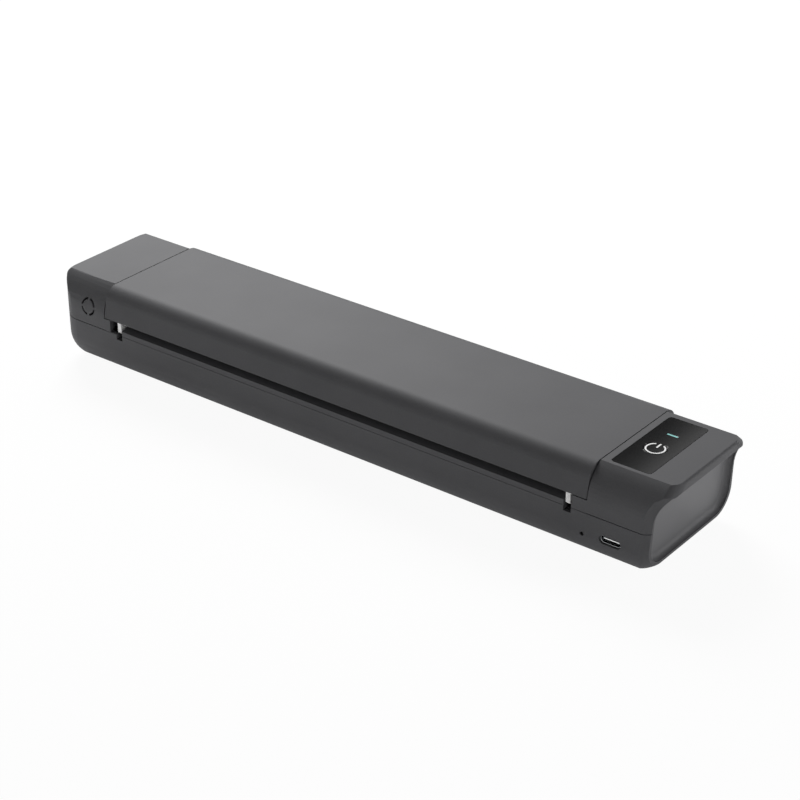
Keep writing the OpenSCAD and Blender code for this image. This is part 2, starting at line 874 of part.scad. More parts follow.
module buzzer_cup() {
  intersection() {
    translate([buzzer_x, -half + buzzer_in + buzzer_len / 2, buzzer_z]) rotate([90, 0, 0])
      difference() {
        cylinder(r = buzzer_r + buzzer_cup_t + run_gap, h = buzzer_in + buzzer_len / 2);
        translate([0, 0, -over])
          cylinder(r = buzzer_r + run_gap, h = buzzer_in + buzzer_len / 2 + 2 * over);
      }
    along_x(x_left, cover_x0) casing_section(wall / 2, part_z, top_z - wall / 2);
  }
}

// Screw columns of the top case, each down to the post of the bottom case
module case_screw_columns() {
  for (spot = case_screw_spots) {
    in_block = spot.x < cover_x0 || spot.x > cover_x1;
    translate([spot.x, spot.y, screw_meet_z])
      cylinder(r = screw_column_r, h = (in_block ? roof_z : slot_z - deck_t) - screw_meet_z + wall / 2);
  }
}

module gear_window() {
  tip_r = gear_module * (idler_teeth / 2 + addendum_share);
  x1 = collar_x0 - collar_slot_w / 2 + over / 2;
  y1 = idler_y + tip_r + gear_window_gap;
  translate([gear_x - gear_gap, -half + wall, part_z - over])
    cube([x1 - gear_x + gear_gap, y1 + half - wall, body_h]);
  translate([cover_x0 + slot_in_left, -half - over, part_z - over])
    cube([x1 - cover_x0 - slot_in_left, y1 + half + over, body_h]);
}

module light_slot(z0, z1, gap) {
  translate([key_x - light_len / 2 - gap, light_y - light_w / 2 - gap, z0])
    cube([light_len + 2 * gap, light_w + 2 * gap, z1 - z0]);
}

// Ribs under the two battery cells, cut to the cells' round
module battery_cradle() {
  run = 2 * cell_len + cell_space;
  difference() {
    for (share = cradle_shares)
      translate([cell_x + share * run - cradle_t / 2, cell_y - cell_r, floor_z - wall / 2])
        cube([cradle_t, 2 * cell_r, cradle_h + wall / 2]);
    translate([cell_x - over, cell_y, cell_z]) rotate([0, 90, 0])
      cylinder(r = cell_r + sleeve_t + run_gap, h = run + 2 * over, $fn = 96);
  }
}

function board_screw_spots() = [
  [board_x0 + board_screw_in, board_y0 + board_screw_front_in],
  [board_x0 + board_screw_in, board_y1 - board_screw_back_in],
  [board_x0 + board_len - board_screw_side_in, board_y0 + board_screw_side_front_in]];

module bottom_case() {
  plate_guide = gear_plate_t + 2 * run_gap;
  color("#4b4b4d") difference() {
    union() {
      difference() {
        casing_solid(base_z, part_z);
        casing_cavity(floor_z, part_z + over);
      }
      intersection() {
        union() {
          battery_cradle();
          case_screw_posts(floor_z - wall / 2, screw_meet_z, screw_post_r);
          for (spot = board_screw_spots())
            translate([spot.x, spot.y, floor_z - wall / 2])
              cylinder(r = board_boss_r, h = board_z0 - floor_z + wall / 2);
          for (share = spring_x_shares)
            translate([head_x0 + head_len / 2 + share * head_len,
              head_y0 + spring_back, floor_z - wall / 2]) {
              cylinder(r = spring_seat_r, h = spring_seat_z - floor_z + wall / 2);
              cylinder(r = spring_peg_r, h = spring_seat_z + spring_peg_h - floor_z + wall / 2);
            }
          for (y = [gear_plate_y0, gear_plate_y1 - 3 * wall])
            translate([gear_plate_x - wall - run_gap, y, floor_z - wall / 2])
              cube([2 * wall + plate_guide, 3 * wall, 2 * wall]);
        }
        along_x(x_left + wall, cover_x1 + right_block_len / 2)
          casing_section(wall / 2, base_z + wall / 2, part_z);
      }
    }
    translate([gear_plate_x - run_gap, gear_plate_y0 - run_gap, floor_z])
      cube([plate_guide, gear_plate_y1 - gear_plate_y0 + 2 * run_gap, gear_plate_h]);
    parting_groove();
    end_recess();
    collar_slots();
    translate([port_x, -half - over, board_z1 + port_h / 2]) rotate([-90, 0, 0])
      stadium(port_w + 2 * port_hole_gap, port_h + 2 * port_hole_gap, 3 * wall);
    translate([pin_x, -half - over, board_z1 + reset_h / 2]) rotate([-90, 0, 0])
      cylinder(r = pin_r, h = 3 * wall, $fn = 32);
    for (spot = case_screw_spots) translate([spot.x, spot.y, 0]) {
      cylinder(r = screw_r + run_gap, h = body_h, $fn = 32);
      cylinder(r = screw_head_r + run_gap, h = base_z + screw_sink + screw_head_t, $fn = 48);
    }
    for (spot = board_screw_spots())
      translate([spot.x, spot.y, board_z0 - board_pilot_deep])
        cylinder(r = board_screw_r + run_gap, h = board_pilot_deep + over, $fn = 32);
    for (spot = foot_spots()) translate([spot.x, spot.y, 0])
      cylinder(r = foot_r + run_gap, h = base_z + foot_sink);
  }
}

// Prism with round ends along Z, its width along X and its height along Y
module stadium(w, h, deep) {
  linear_extrude(deep) {
    translate([-(w - h) / 2, -h / 2]) square([w - h, h]);
    for (side = [-1, 1]) translate([side * (w - h) / 2, 0]) circle(r = h / 2, $fn = 48);
  }
}

module end_panel() {
  color("#606062") recess_slab(recess_depth + end_panel_t, recess_depth, end_fit);
}

// Cross-section of the cover: flat top, round long edges, leaning sides
module cover_section(inset, z_low) {
  arc_r = cover_edge_r - inset;
  arc_z = top_z - cover_edge_r;
  flank_y = crease + arc_r * cos(cover_lean);
  flank_z = arc_z + arc_r * sin(cover_lean);
  for (side = [0, 1]) mirror([side, 0]) {
    polygon([[0, z_low], [0, top_z - inset], [crease, top_z - inset], [crease, arc_z],
      [flank_y, flank_z], [flank_y + (flank_z - z_low) * tan(cover_lean), z_low]]);
    intersection() {
      translate([crease, arc_z]) circle(r = arc_r, $fn = 128);
      translate([crease, arc_z]) polygon([[0, 0], [0, 2 * arc_r], [2 * arc_r, 2 * arc_r],
        [2 * arc_r * cos(cover_lean), 2 * arc_r * sin(cover_lean)]]);
    }
  }
}

function guide_spots() = [for (sx = [-1, 1]) [(cover_x0 + cover_x1) / 2
  + sx * guide_post_share * (cover_x1 - cover_x0), 0]];

module cover_shell() {
  x0 = cover_x0 + cover_gap;
  x1 = cover_x1 - cover_gap;
  gear_tip_r = gear_module * (platen_teeth / 2 + addendum_share);
  color("#4a4a4c") difference() {
    union() {
      difference() {
        along_x(x0, x1) cover_section(0, cover_z0);
        along_x(x0 + cover_wall, x1 - cover_wall) cover_section(cover_wall, cover_z0 - over);
      }
      for (x = [x0 + cover_wall / 2, x1 - cover_wall / 2 - knuckle_len])
        translate([x, hinge_y, hinge_z]) rotate([0, 90, 0])
          cylinder(r = knuckle_r, h = knuckle_len);
      for (spot = bracket_screw_spots()) translate([spot.x, spot.y, roof_z - cover_boss_h])
        cylinder(r = cover_boss_r, h = cover_boss_h + cover_wall / 2);
      for (spot = guide_spots()) translate([spot.x, spot.y, guide_z1()])
        cylinder(r = guide_post_r, h = roof_z - guide_z1() + cover_wall / 2);
    }
    for (x = [x0 - over, x1 - cover_wall - knuckle_len])
      translate([x, hinge_y, hinge_z]) rotate([0, 90, 0])
        cylinder(r = hinge_r + run_gap, h = knuckle_len + cover_wall + over);
    for (x = [collar_x0, collar_x1])
      translate([x - collar_w / 2 - free_gap, platen_y, platen_z]) rotate([0, 90, 0])
        cylinder(r = collar_r + free_gap, h = collar_w + 2 * free_gap, $fn = 96);
    translate([gear_x - free_gap, platen_y, platen_z]) rotate([0, 90, 0])
      cylinder(r = gear_tip_r + free_gap, h = gear_w + 2 * free_gap, $fn = 96);
    for (spot = bracket_screw_spots()) translate([spot.x, spot.y, roof_z - cover_boss_h - over])
      cylinder(r = cover_screw_r + run_gap, h = cover_boss_h + over, $fn = 32);
    for (spot = guide_spots()) translate([spot.x, spot.y, guide_z1() - over])
      cylinder(r = cover_screw_r + run_gap, h = cover_boss_h + over, $fn = 32);
  }
}

function guide_z1() = cover_z0 + guide_rise + guide_t;

// Plate inside the cover that guides the paper from above, with ribs along its way
module cover_guide() {
  x0 = head_x0;
  x1 = head_x0 + head_len;
  y0 = -half + guide_front_in;
  y1 = half - guide_back_in;
  color("#2c2c2e") difference() {
    union() {
      translate([x0, y0, guide_z1() - guide_t]) cube([x1 - x0, y1 - y0, guide_t]);
      for (i = [0 : guide_rib_count - 1])
        translate([x0 + (i + 0.5) * (x1 - x0) / guide_rib_count - guide_rib_w / 2,
          y0, guide_z1() - guide_t - guide_rib_h])
          cube([guide_rib_w, y1 - y0, guide_rib_h + guide_t / 2]);
    }
    for (spot = guide_spots()) translate([spot.x, spot.y, cover_z0 - over])
      cylinder(r = cover_screw_r + run_gap, h = body_h, $fn = 32);
  }
}

function bracket_x(left) = left ? collar_x0 + collar_w / 2 : collar_x1 - collar_w / 2 - bracket_t;

function bracket_screw_spots() = [for (left = [true, false])
  [bracket_x(left) + bracket_t / 2 + (left ? 1 : -1) * bracket_foot_len / 2,
    platen_y + bracket_foot_d / 2]];

// Steel brackets that hang the platen from the cover
module roller_brackets() {
  foot_z = roof_z - cover_boss_h - bracket_foot_t;
  color("#5a5c60") for (left = [true, false]) {
    x = bracket_x(left);
    difference() {
      union() {
        along_x(x, x + bracket_t) {
          translate([platen_y, platen_z]) circle(r = bracket_r);
          translate([platen_y - bracket_neck_d / 2, platen_z])
            square([bracket_neck_d, foot_z + bracket_foot_t - platen_z]);
        }
        translate([left ? x : x + bracket_t - bracket_foot_len,
          platen_y - bracket_neck_d / 2, foot_z])
          cube([bracket_foot_len, bracket_foot_d, bracket_foot_t]);
      }
      translate([x - over, platen_y, platen_z]) rotate([0, 90, 0])
        cylinder(r = collar_hub_r + run_gap, h = bracket_t + 2 * over);
      for (spot = bracket_screw_spots()) translate([spot.x, spot.y, foot_z - over])
        cylinder(r = cover_screw_r + run_gap, h = bracket_foot_t + 2 * over, $fn = 32);
    }
  }
}

// Profile of a bearing's tab in Y and Z
module collar_tab() {
  front = -half + tab_in;
  low = slot_z - tab_drop;
  high = cover_z0 - tab_top_gap;
  translate([front + tab_r, low]) square([tab_len - tab_r, high - low]);
  translate([front, low + tab_r]) square([tab_r, high - low - tab_r]);
  translate([front + tab_r, low + tab_r]) circle(r = tab_r, $fn = 32);
}

// White plain bearings: a wide collar with a hub in the bracket and a tab in the slot's notch
module bearing_collars() {
  color("#efefee") for (left = [true, false]) {
    x = left ? collar_x0 : collar_x1;
    difference() {
      union() {
        translate([x - collar_w / 2, platen_y, platen_z]) rotate([0, 90, 0])
          cylinder(r = collar_r, h = collar_w, $fn = 96);
        translate([left ? x : x - collar_w / 2 - bracket_t, platen_y, platen_z])
          rotate([0, 90, 0]) cylinder(r = collar_hub_r, h = collar_w / 2 + bracket_t);
        along_x(x - collar_w / 2 + tab_side_in, x + collar_w / 2 - tab_side_in) collar_tab();
      }
      translate([x - 2 * collar_w, platen_y, platen_z]) rotate([0, 90, 0])
        cylinder(r = platen_shaft_r + run_gap, h = 4 * collar_w);
    }
  }
}

module pan_screw(r, reach, head_r, head_t) {
  cylinder(r = r, h = reach, $fn = 32);
  translate([0, 0, -head_t]) difference() {
    cylinder(r = head_r, h = head_t, $fn = 48);
    translate([0, 0, -over]) cylinder(r = head_r / 2, h = over + head_t / 2, $fn = 6);
  }
}

module cover_screws() {
  color("#8d8f92") {
    for (spot = bracket_screw_spots())
      translate([spot.x, spot.y, roof_z - cover_boss_h - bracket_foot_t])
        pan_screw(cover_screw_r, bracket_foot_t + cover_boss_h - over / 2,
          cover_screw_head_r, cover_screw_head_t);
    for (spot = guide_spots()) translate([spot.x, spot.y, guide_z1() - guide_t])
      pan_screw(cover_screw_r, guide_t + cover_boss_h - over / 2,
        cover_screw_head_r, cover_screw_head_t);
  }
}

// Rubber sleeve of the platen, between the two brackets
module platen_roller() {
  x0 = head_x0;
  x1 = bracket_x(false) - roller_end_gap;
  color("#1d1d1f") translate([x0, platen_y, platen_z]) rotate([0, 90, 0]) difference() {
    cylinder(r = roller_r, h = x1 - x0, $fn = 96);
    translate([0, 0, -over]) cylinder(r = platen_shaft_r + pin_fit, h = x1 - x0 + 2 * over);
  }
}

module platen_shaft() {
  x0 = gear_x - shaft_end_in;
  x1 = collar_x1 + collar_w / 2 - shaft_end_in;
  color("#b4b6b8") translate([x0, platen_y, platen_z]) rotate([0, 90, 0])
    cylinder(r = platen_shaft_r, h = x1 - x0);
}

// Involute gear outline: half the tooth's angle at a radius, then its corners
function involute(angle) = tan(angle) * 180 / PI - angle;
function tooth_half(teeth, r) =
  let (base_r = gear_module * teeth / 2 * cos(pressure_angle))
  90 / teeth - backlash_share * 180 / (PI * teeth / 2) + involute(pressure_angle)
    - involute(acos(min(1, base_r / r)));
function flank_radii(teeth) =
  let (tip_r = gear_module * (teeth / 2 + addendum_share),
    root_r = gear_module * (teeth / 2 - dedendum_share),
    base_r = max(root_r, gear_module * teeth / 2 * cos(pressure_angle)))
  [root_r, base_r, base_r + (tip_r - base_r) / 3, base_r + 2 * (tip_r - base_r) / 3, tip_r];
function gear_points(teeth) = [for (i = [0 : teeth - 1], side = [-1, 1], k = [0 : 4])
  let (radii = flank_radii(teeth), r = side < 0 ? radii[k] : radii[4 - k],
    a = i * 360 / teeth + side * tooth_half(teeth, r))
  [r * cos(a), r * sin(a)]];

module spur_gear(teeth, turn, y, z, bore_r) {
  translate([gear_x, y, z]) rotate([90, 0, 90]) rotate([0, 0, turn])
    difference() {
      linear_extrude(gear_w) polygon(gear_points(teeth));
      translate([0, 0, -over]) cylinder(r = bore_r, h = gear_w + 2 * over);
    }
}

module platen_gear() {
  color("#3c3e42")
    spur_gear(platen_teeth, platen_to_idler, platen_y, platen_z, platen_shaft_r + pin_fit);
}

module idler_gear() {
  color("#3c3e42") spur_gear(idler_teeth, idler_turn, idler_y, idler_z, idler_post_r + run_gap);
}

module motor_pinion() {
  color("#b08d4a") spur_gear(pinion_teeth, pinion_turn, pinion_y, pinion_z, motor_shaft_r + pin_fit);
}

// Steel post that the idler turns on, with a collar each side of the gear
module idler_post() {
  color("#a9abad") {
    translate([gear_plate_x, idler_y, idler_z]) rotate([0, 90, 0])
      cylinder(r = idler_post_r, h = gear_x + gear_w + run_gap - gear_plate_x);
    translate([gear_plate_x + gear_plate_t, idler_y, idler_z]) rotate([0, 90, 0])
      cylinder(r = idler_collar_r, h = gear_x - gear_plate_x - gear_plate_t - run_gap);
    translate([gear_x + gear_w + run_gap, idler_y, idler_z]) rotate([0, 90, 0])
      cylinder(r = idler_clip_r, h = shaft_end_in);
  }
}

module motor_shaft() {
  color("#b4b6b8") translate([gear_plate_x - motor_len / 2, pinion_y, pinion_z]) rotate([0, 90, 0])
    cylinder(r = motor_shaft_r, h = gear_x + gear_w - gear_plate_x + motor_len / 2);
}

// Can motor with two mounting ears and a wire block
module stepper_motor() {
  color("#9a9c9e") difference() {
    union() {
      translate([gear_plate_x - motor_len, pinion_y, pinion_z]) rotate([0, 90, 0]) {
        cylinder(r = motor_r, h = motor_len, $fn = 96);
        translate([0, 0, -motor_cap_t]) cylinder(r = motor_cap_r, h = motor_cap_t + over);
        translate([0, 0, motor_len - over])
          cylinder(r = motor_boss_r, h = over + gear_plate_t);
      }
      along_x(gear_plate_x - motor_ear_t, gear_plate_x) translate([pinion_y, pinion_z]) {
        translate([-motor_ear_len, -motor_ear_r]) square([2 * motor_ear_len, 2 * motor_ear_r]);
        for (side = [-1, 1]) translate([side * motor_ear_len, 0]) circle(r = motor_ear_r);
      }
    }
    translate([gear_plate_x - motor_len / 2, pinion_y, pinion_z]) rotate([0, 90, 0])
      cylinder(r = motor_shaft_r + run_gap, h = motor_len);
    for (side = [-1, 1])
      translate([gear_plate_x - 2 * motor_ear_t, pinion_y + side * motor_ear_len, pinion_z])
        rotate([0, 90, 0]) cylinder(r = motor_screw_r + run_gap, h = 3 * motor_ear_t, $fn = 32);
  }
}

module motor_screws() {
  color("#8d8f92") for (side = [-1, 1])
    translate([gear_plate_x - motor_ear_t, pinion_y + side * motor_ear_len, pinion_z])
      rotate([0, 90, 0])
        pan_screw(motor_screw_r, motor_ear_t + gear_plate_t, motor_screw_head_r, motor_screw_head_t);
}

// Steel plate that holds the motor and the idler post, slotted into the case
module gear_plate() {
  color("#7d7f83") difference() {
    intersection() {
      translate([gear_plate_x, gear_plate_y0, floor_z])
        cube([gear_plate_t, gear_plate_y1 - gear_plate_y0, gear_plate_h]);
      along_x(gear_plate_x, gear_plate_x + gear_plate_t)
        casing_section(wall + gear_plate_clear, floor_z, top_z - wall);
    }
    translate([gear_plate_x - over, pinion_y, pinion_z]) rotate([0, 90, 0])
      cylinder(r = motor_boss_r + run_gap, h = gear_plate_t + 2 * over);
    translate([gear_plate_x - over, idler_y, idler_z]) rotate([0, 90, 0])
      cylinder(r = idler_post_r + pin_fit, h = gear_plate_t + 2 * over);
    for (side = [-1, 1])
      translate([gear_plate_x - over, pinion_y + side * motor_ear_len, pinion_z])
        rotate([0, 90, 0])
          cylinder(r = motor_screw_r + run_gap, h = gear_plate_t + 2 * over, $fn = 32);
  }
}

// Headed pins pushed through the block walls into the cover's knuckles
module hinge_pins() {
  reach = wall + cover_gap + cover_wall + knuckle_len / 2;
  color("#a9abad") for (left = [true, false])
    translate([left ? cover_x0 - wall : cover_x1 + wall, hinge_y, hinge_z])
      rotate([0, left ? 90 : -90, 0]) {
        cylinder(r = hinge_r, h = reach);
        translate([0, 0, -pin_head_t]) cylinder(r = pin_head_r, h = pin_head_t);
      }
}

// Aluminium bar of the print head with its pivot lugs at the back
module head_bar() {
  color("#a3a6a9") difference() {
    union() {
      translate([head_x0, head_y0, head_bar_z0]) cube([head_len, head_depth, head_bar_t]);
      for (x = [head_x0 + pivot_lug_in, head_x0 + head_len - pivot_lug_in - pivot_lug_w]) {
        translate([x, pivot_y, pivot_z]) rotate([0, 90, 0])
          cylinder(r = pivot_lug_r, h = pivot_lug_w);
        translate([x, head_y0 + head_depth - over, head_bar_z0])
          cube([pivot_lug_w, pivot_y - head_y0 - head_depth + over, head_bar_t]);
      }
    }
    translate([head_x0 - over, pivot_y, pivot_z]) rotate([0, 90, 0])
      cylinder(r = pivot_r + run_gap, h = head_len + 2 * over);
  }
}

module head_ceramic() {
  color("#d8d6cf") translate([head_x0, head_y0, head_bar_z0 + head_bar_t])
    cube([head_len, ceramic_d, ceramic_t]);
}

// Black resin over the driver chips at the ceramic's back edge
module head_driver_strip() {
  color("#19191b") intersection() {
    translate([head_x0 + driver_in, head_y0 + ceramic_d - driver_in - driver_d, head_top_z])
      cube([head_len - 2 * driver_in, driver_d, driver_t]);
    translate([head_x0, head_y0 + ceramic_d - driver_in - driver_d / 2, head_top_z - 2 * driver_t])
      rotate([0, 90, 0]) cylinder(r = 3 * driver_t, h = head_len);
  }
}

module head_connector() {
  color("#e4e0d2") translate([connector_x, head_y0 + connector_in, head_bar_z0 - connector_t])
    cube([connector_len, connector_d, connector_t]);
}

module head_pivot_rod() {
  color("#b4b6b8")
    translate([head_x0 - pivot_ear_gap - pivot_ear_t - pivot_end, pivot_y, pivot_z])
      rotate([0, 90, 0]) cylinder(r = pivot_r,
        h = head_len + 2 * (pivot_ear_gap + pivot_ear_t + pivot_end));
}

// Tube swept along a list of points, its rings turned to the path
function unit(v) = v / norm(v);
function path_way(points, i) = unit(points[min(i + 1, len(points) - 1)] - points[max(i - 1, 0)]);
function ring_side(way) = unit(cross(way, abs(way.z) > 0.9 ? [1, 0, 0] : [0, 0, 1]));
function tube_ring(points, i, r, sides) =
  let (way = path_way(points, i), side = ring_side(way), rise = cross(side, way))
  [for (k = [0 : sides - 1]) points[i] + r * cos(360 * k / sides) * side
    + r * sin(360 * k / sides) * rise];
module tube(points, r, sides) {
  count = len(points);
  corners = [for (i = [0 : count - 1], corner = tube_ring(points, i, r, sides)) corner];
  walls = [for (i = [0 : count - 2], k = [0 : sides - 1], half_face = [0, 1])
    let (a = i * sides + k, b = i * sides + (k + 1) % sides)
    half_face == 0 ? [a, b, b + sides] : [a, b + sides, a + sides]];
  ends = [[for (k = [sides - 1 : -1 : 0]) k],
    [for (k = [0 : sides - 1]) (count - 1) * sides + k]];
  polyhedron(points = corners, faces = concat(walls, ends));
}

// Smooth curve through the points of a route
function spline_point(p, i, t) =
  let (a = p[max(i - 1, 0)], b = p[i], c = p[i + 1], d = p[min(i + 2, len(p) - 1)])
  0.5 * (2 * b + (c - a) * t + (2 * a - 5 * b + 4 * c - d) * t * t
    + (3 * b - a - 3 * c + d) * t * t * t);
function spline(p, steps) = concat([for (i = [0 : len(p) - 2], k = [0 : steps - 1])
  spline_point(p, i, k / steps)], [p[len(p) - 1]]);

function spring_height() = head_bar_z0 - spring_seat_z - 2 * spring_gap;
function coil_points() =
  let (rise = spring_height() - 2 * spring_wire_r, steps = 8 * spring_turns)
  [for (i = [0 : steps]) [spring_r * cos(45 * i), spring_r * sin(45 * i),
    spring_wire_r + rise * i / steps]];
function coil_gap() =
  let (p = coil_points())
  min([for (i = [0 : len(p) - 1], j = [i + 4 : 1 : len(p) - 1]) norm(p[i] - p[j])])
    - 2 * spring_wire_r;
echo(head_spring_least_gap = coil_gap());

module head_springs() {
  color("#c2c4c6") for (share = spring_x_shares)
    translate([head_x0 + head_len / 2 + share * head_len, head_y0 + spring_back,
      spring_seat_z + spring_gap])
      tube(coil_points(), spring_wire_r, 6);
}

// Flat cable from the head's connector to the main board, as a bent ribbon
module head_cable() {
  drop_z = head_bar_z0 - connector_t - free_gap;
  cable_y = head_y0 + connector_in + connector_d / 2;
  socket_z = board_z1 + socket_h;
  bend_r = (socket_y - cable_y) / 2;
  color("#e9e6dc") along_x(connector_x + (connector_len - cable_w) / 2,
    connector_x + (connector_len + cable_w) / 2) {
    translate([cable_y - cable_t / 2, socket_z + bend_r / 2])
      square([cable_t, drop_z - socket_z - bend_r / 2]);
    translate([cable_y + bend_r, socket_z + bend_r / 2]) difference() {
      circle(r = bend_r + cable_t / 2);
      circle(r = bend_r - cable_t / 2);
      translate([-2 * bend_r, 0]) square([4 * bend_r, 2 * bend_r]);
      translate([0, -2 * bend_r]) square([2 * bend_r, 4 * bend_r]);
    }
  }
}

module gloss_panel() {
  color("#1a1a1c") difference() {
    translate([panel_x - panel_w / 2 + panel_fit, panel_y - panel_d / 2 + panel_fit, top_z - panel_t])
      rounded_slab(panel_w - 2 * panel_fit, panel_d - 2 * panel_fit, panel_t, panel_r - panel_fit);
    translate([key_x, key_y, top_z - panel_t - over])
      cylinder(r = key_r + key_gap, h = panel_t + 2 * over, $fn = 96);
    light_slot(top_z - panel_t - over, top_z + over, light_fit);
  }
}

// Gloss key cap over a wider flange that the panel holds in
module power_key() {
  flange_z = top_z - panel_t - key_flange_gap - key_flange_t;
  color("#1c1c1e") {
    translate([key_x, key_y, flange_z]) cylinder(r = key_flange_r, h = key_flange_t, $fn = 96);
    translate([key_x, key_y, flange_z])
      cylinder(r = key_r, h = top_z - key_sink - flange_z, $fn = 96);
    translate([key_x, key_y, flange_z - key_stem_len])
      cylinder(r = key_stem_r, h = key_stem_len + key_flange_t / 2, $fn = 48);
  }
}

// Generic power symbol on the key: an open ring and a bar
module power_symbol() {
  color("#f0f0f0") translate([key_x, key_y, top_z - key_sink]) {
    rotate([0, 0, 90 + symbol_open / 2]) rotate_extrude(angle = 360 - symbol_open, $fn = 96)
      translate([symbol_r - symbol_w, 0]) square([symbol_w, symbol_t]);
    translate([-symbol_w / 2, symbol_r - symbol_bar, 0]) cube([symbol_w, symbol_bar, symbol_t]);
  }
}

function key_stem_z() = top_z - panel_t - key_flange_gap - key_flange_t - key_stem_len;

module key_plunger() {
  low = key_board_z1 + switch_h - plunger_deep;
  color("#d9c9a0") translate([key_x, key_y, low])
    cylinder(r = plunger_r, h = key_stem_z() - low, $fn = 48);
}

module key_switch() {
  color("#2f3033") difference() {
    translate([key_x - switch_w / 2, key_y - switch_w / 2, key_board_z1])
      cube([switch_w, switch_w, switch_h]);
    translate([key_x, key_y, key_board_z1 + switch_h - plunger_deep - key_travel - run_gap])
      cylinder(r = plunger_r + run_gap, h = switch_h, $fn = 48);
  }
}

// Light guide of the status bar, flush with the gloss panel
module light_bar() {
  color("#9fd8d2") light_slot(top_z - light_bar_len, top_z, 0);
}

module status_light() {
  color("#e9efe9") translate([key_x - led_w / 2, light_y - led_d / 2, key_board_z1])
    cube([led_w, led_d, top_z - light_bar_len - run_gap - key_board_z1]);
}

module key_board() {
  color("#1f5a3a") difference() {
    translate([key_x - key_board_w / 2, key_board_y0, key_board_z1 - key_board_t])
      cube([key_board_w, key_board_y1 - key_board_y0, key_board_t]);
    for (y = key_post_ys)
      translate([key_x, y, key_board_z1 - key_board_t - over])
        cylinder(r = key_screw_r + run_gap, h = key_board_t + 2 * over, $fn = 32);
  }
}

module key_board_screws() {
  color("#8d8f92") for (y = key_post_ys)
    translate([key_x, y, key_board_z1 - key_board_t])
      pan_screw(key_screw_r, key_board_t + key_screw_reach, key_screw_head_r, key_screw_head_t);
}

module buzzer() {
  color("#202124") translate([buzzer_x, -half + buzzer_in, buzzer_z]) rotate([-90, 0, 0])
    difference() {
      cylinder(r = buzzer_r, h = buzzer_len);
      translate([0, 0, -over]) cylinder(r = buzzer_r / 5, h = 2 * over, $fn = 32);
    }
}

// Reflective sensor in the deck, held from below by its flange
module paper_sensor() {
  color("#26272a") {
    translate([sensor_x - sensor_w / 2, sensor_y - sensor_d / 2, slot_z - deck_t - sensor_flange_t])
      cube([sensor_w, sensor_d, deck_t + sensor_flange_t - sensor_sink]);
    translate([sensor_x - sensor_w / 2 - sensor_flange, sensor_y - sensor_d / 2 - sensor_flange,
      slot_z - deck_t - sensor_flange_t])
      cube([sensor_w + 2 * sensor_flange, sensor_d + 2 * sensor_flange, sensor_flange_t]);
  }
}

module battery_cells() {
  color("#7fa8c9") for (i = [0, 1])
    translate([cell_x + i * (cell_len + cell_space), cell_y, cell_z]) rotate([0, 90, 0]) {
      cylinder(r = cell_r, h = cell_len, $fn = 96);
      cylinder(r = cell_cap_r, h = cell_len + cell_cap_h);
    }
}

// Shrink sleeve round both cells
module battery_sleeve() {
  color("#24466b") translate([cell_x - sleeve_over, cell_y, cell_z]) rotate([0, 90, 0]) difference() {
    cylinder(r = cell_r + sleeve_t, h = 2 * (cell_len + sleeve_over) + cell_space, $fn = 96);
    translate([0, 0, -over]) cylinder(r = cell_r + pin_fit,
      h = 2 * (cell_len + sleeve_over + over) + cell_space, $fn = 96);
  }
}

// Routes of the two leads, from their parts to the sockets of the main board
function battery_route() =
  let (x0 = cell_x + 2 * cell_len + cell_space + sleeve_over + lead_end_gap,
    x1 = board_x0 - socket_out - lead_end_gap, lug_x = x0 + cell_cap_h)
  [[lug_x, cell_y, cell_z], [lug_x + 2 * lead_r, cell_y, cell_z],
    [x0 + 6 * lead_r, cell_y - 2 * lead_r, cell_z + lead_r],
    [x1 - 6 * lead_r, battery_socket_y + lead_r, board_z1 + 3 * lead_r],
    [x1 - 2 * lead_r, battery_socket_y, board_z1 + socket_h / 2],
    [x1, battery_socket_y, board_z1 + socket_h / 2]];
function motor_route() =
  let (x0 = gear_plate_x - motor_len - motor_cap_t / 2, y0 = pinion_y + motor_cap_r + lead_end_gap,
    x1 = board_x0 - socket_out - lead_end_gap, y = motor_lead_y)
  [[x0, y0, pinion_z], [x0, y0 + 2 * lead_r, pinion_z],
    [x0 + lead_r, y - lead_r, pinion_z - 2 * lead_r],
    [x0 + 5 * lead_r, y, floor_z + 5 * lead_r], [x0 + 12 * lead_r, y, floor_z + 2 * lead_r],
    [cell_x, y, floor_z + 2 * lead_r], [cell_x + cell_len, y, floor_z + 2 * lead_r],
    [cell_x + 2 * cell_len, y, floor_z + 2 * lead_r],
    [x1 - 12 * lead_r, y, floor_z + 4 * lead_r],
    [x1 - 4 * lead_r, motor_socket_y, board_z1 + socket_h / 2],
    [x1 - 2 * lead_r, motor_socket_y, board_z1 + socket_h / 2],
    [x1, motor_socket_y, board_z1 + socket_h / 2]];

module battery_lead() {
  color("#b3282d") tube(spline(battery_route(), 3), lead_r, 8);
}

module motor_lead() {
  color("#2b2c2f") tube(spline(motor_route(), 5), lead_r, 8);
}

module main_board() {
  color("#1f5a3a") difference() {
    translate([board_x0, board_y0, board_z0]) rounded_slab(board_len, board_d, board_t, board_r);
    for (spot = board_screw_spots()) translate([spot.x, spot.y, board_z0 - over])
      cylinder(r = board_screw_r + run_gap, h = board_t + 2 * over, $fn = 32);
    for (spot = case_screw_spots) translate([spot.x, spot.y, board_z0 - over])
      cylinder(r = screw_post_r + free_gap, h = board_t + 2 * over);
  }
}

// Chips in rows on the main board: x and y shares of the board, then size
module board_chips() {
  chip_shares = [[0.45, 0.52, 0.14], [0.22, 0.36, 0.1], [0.7, 0.3, 0.08], [0.6, 0.16, 0.05]];
  color("#18191b") for (chip = chip_shares) {
    side = chip.z * board_len;
    translate([board_x0 + chip.x * board_len - side / 2, board_y0 + chip.y * board_d - side / 2,
      board_z1]) cube([side, side, chip_t]);
  }
}

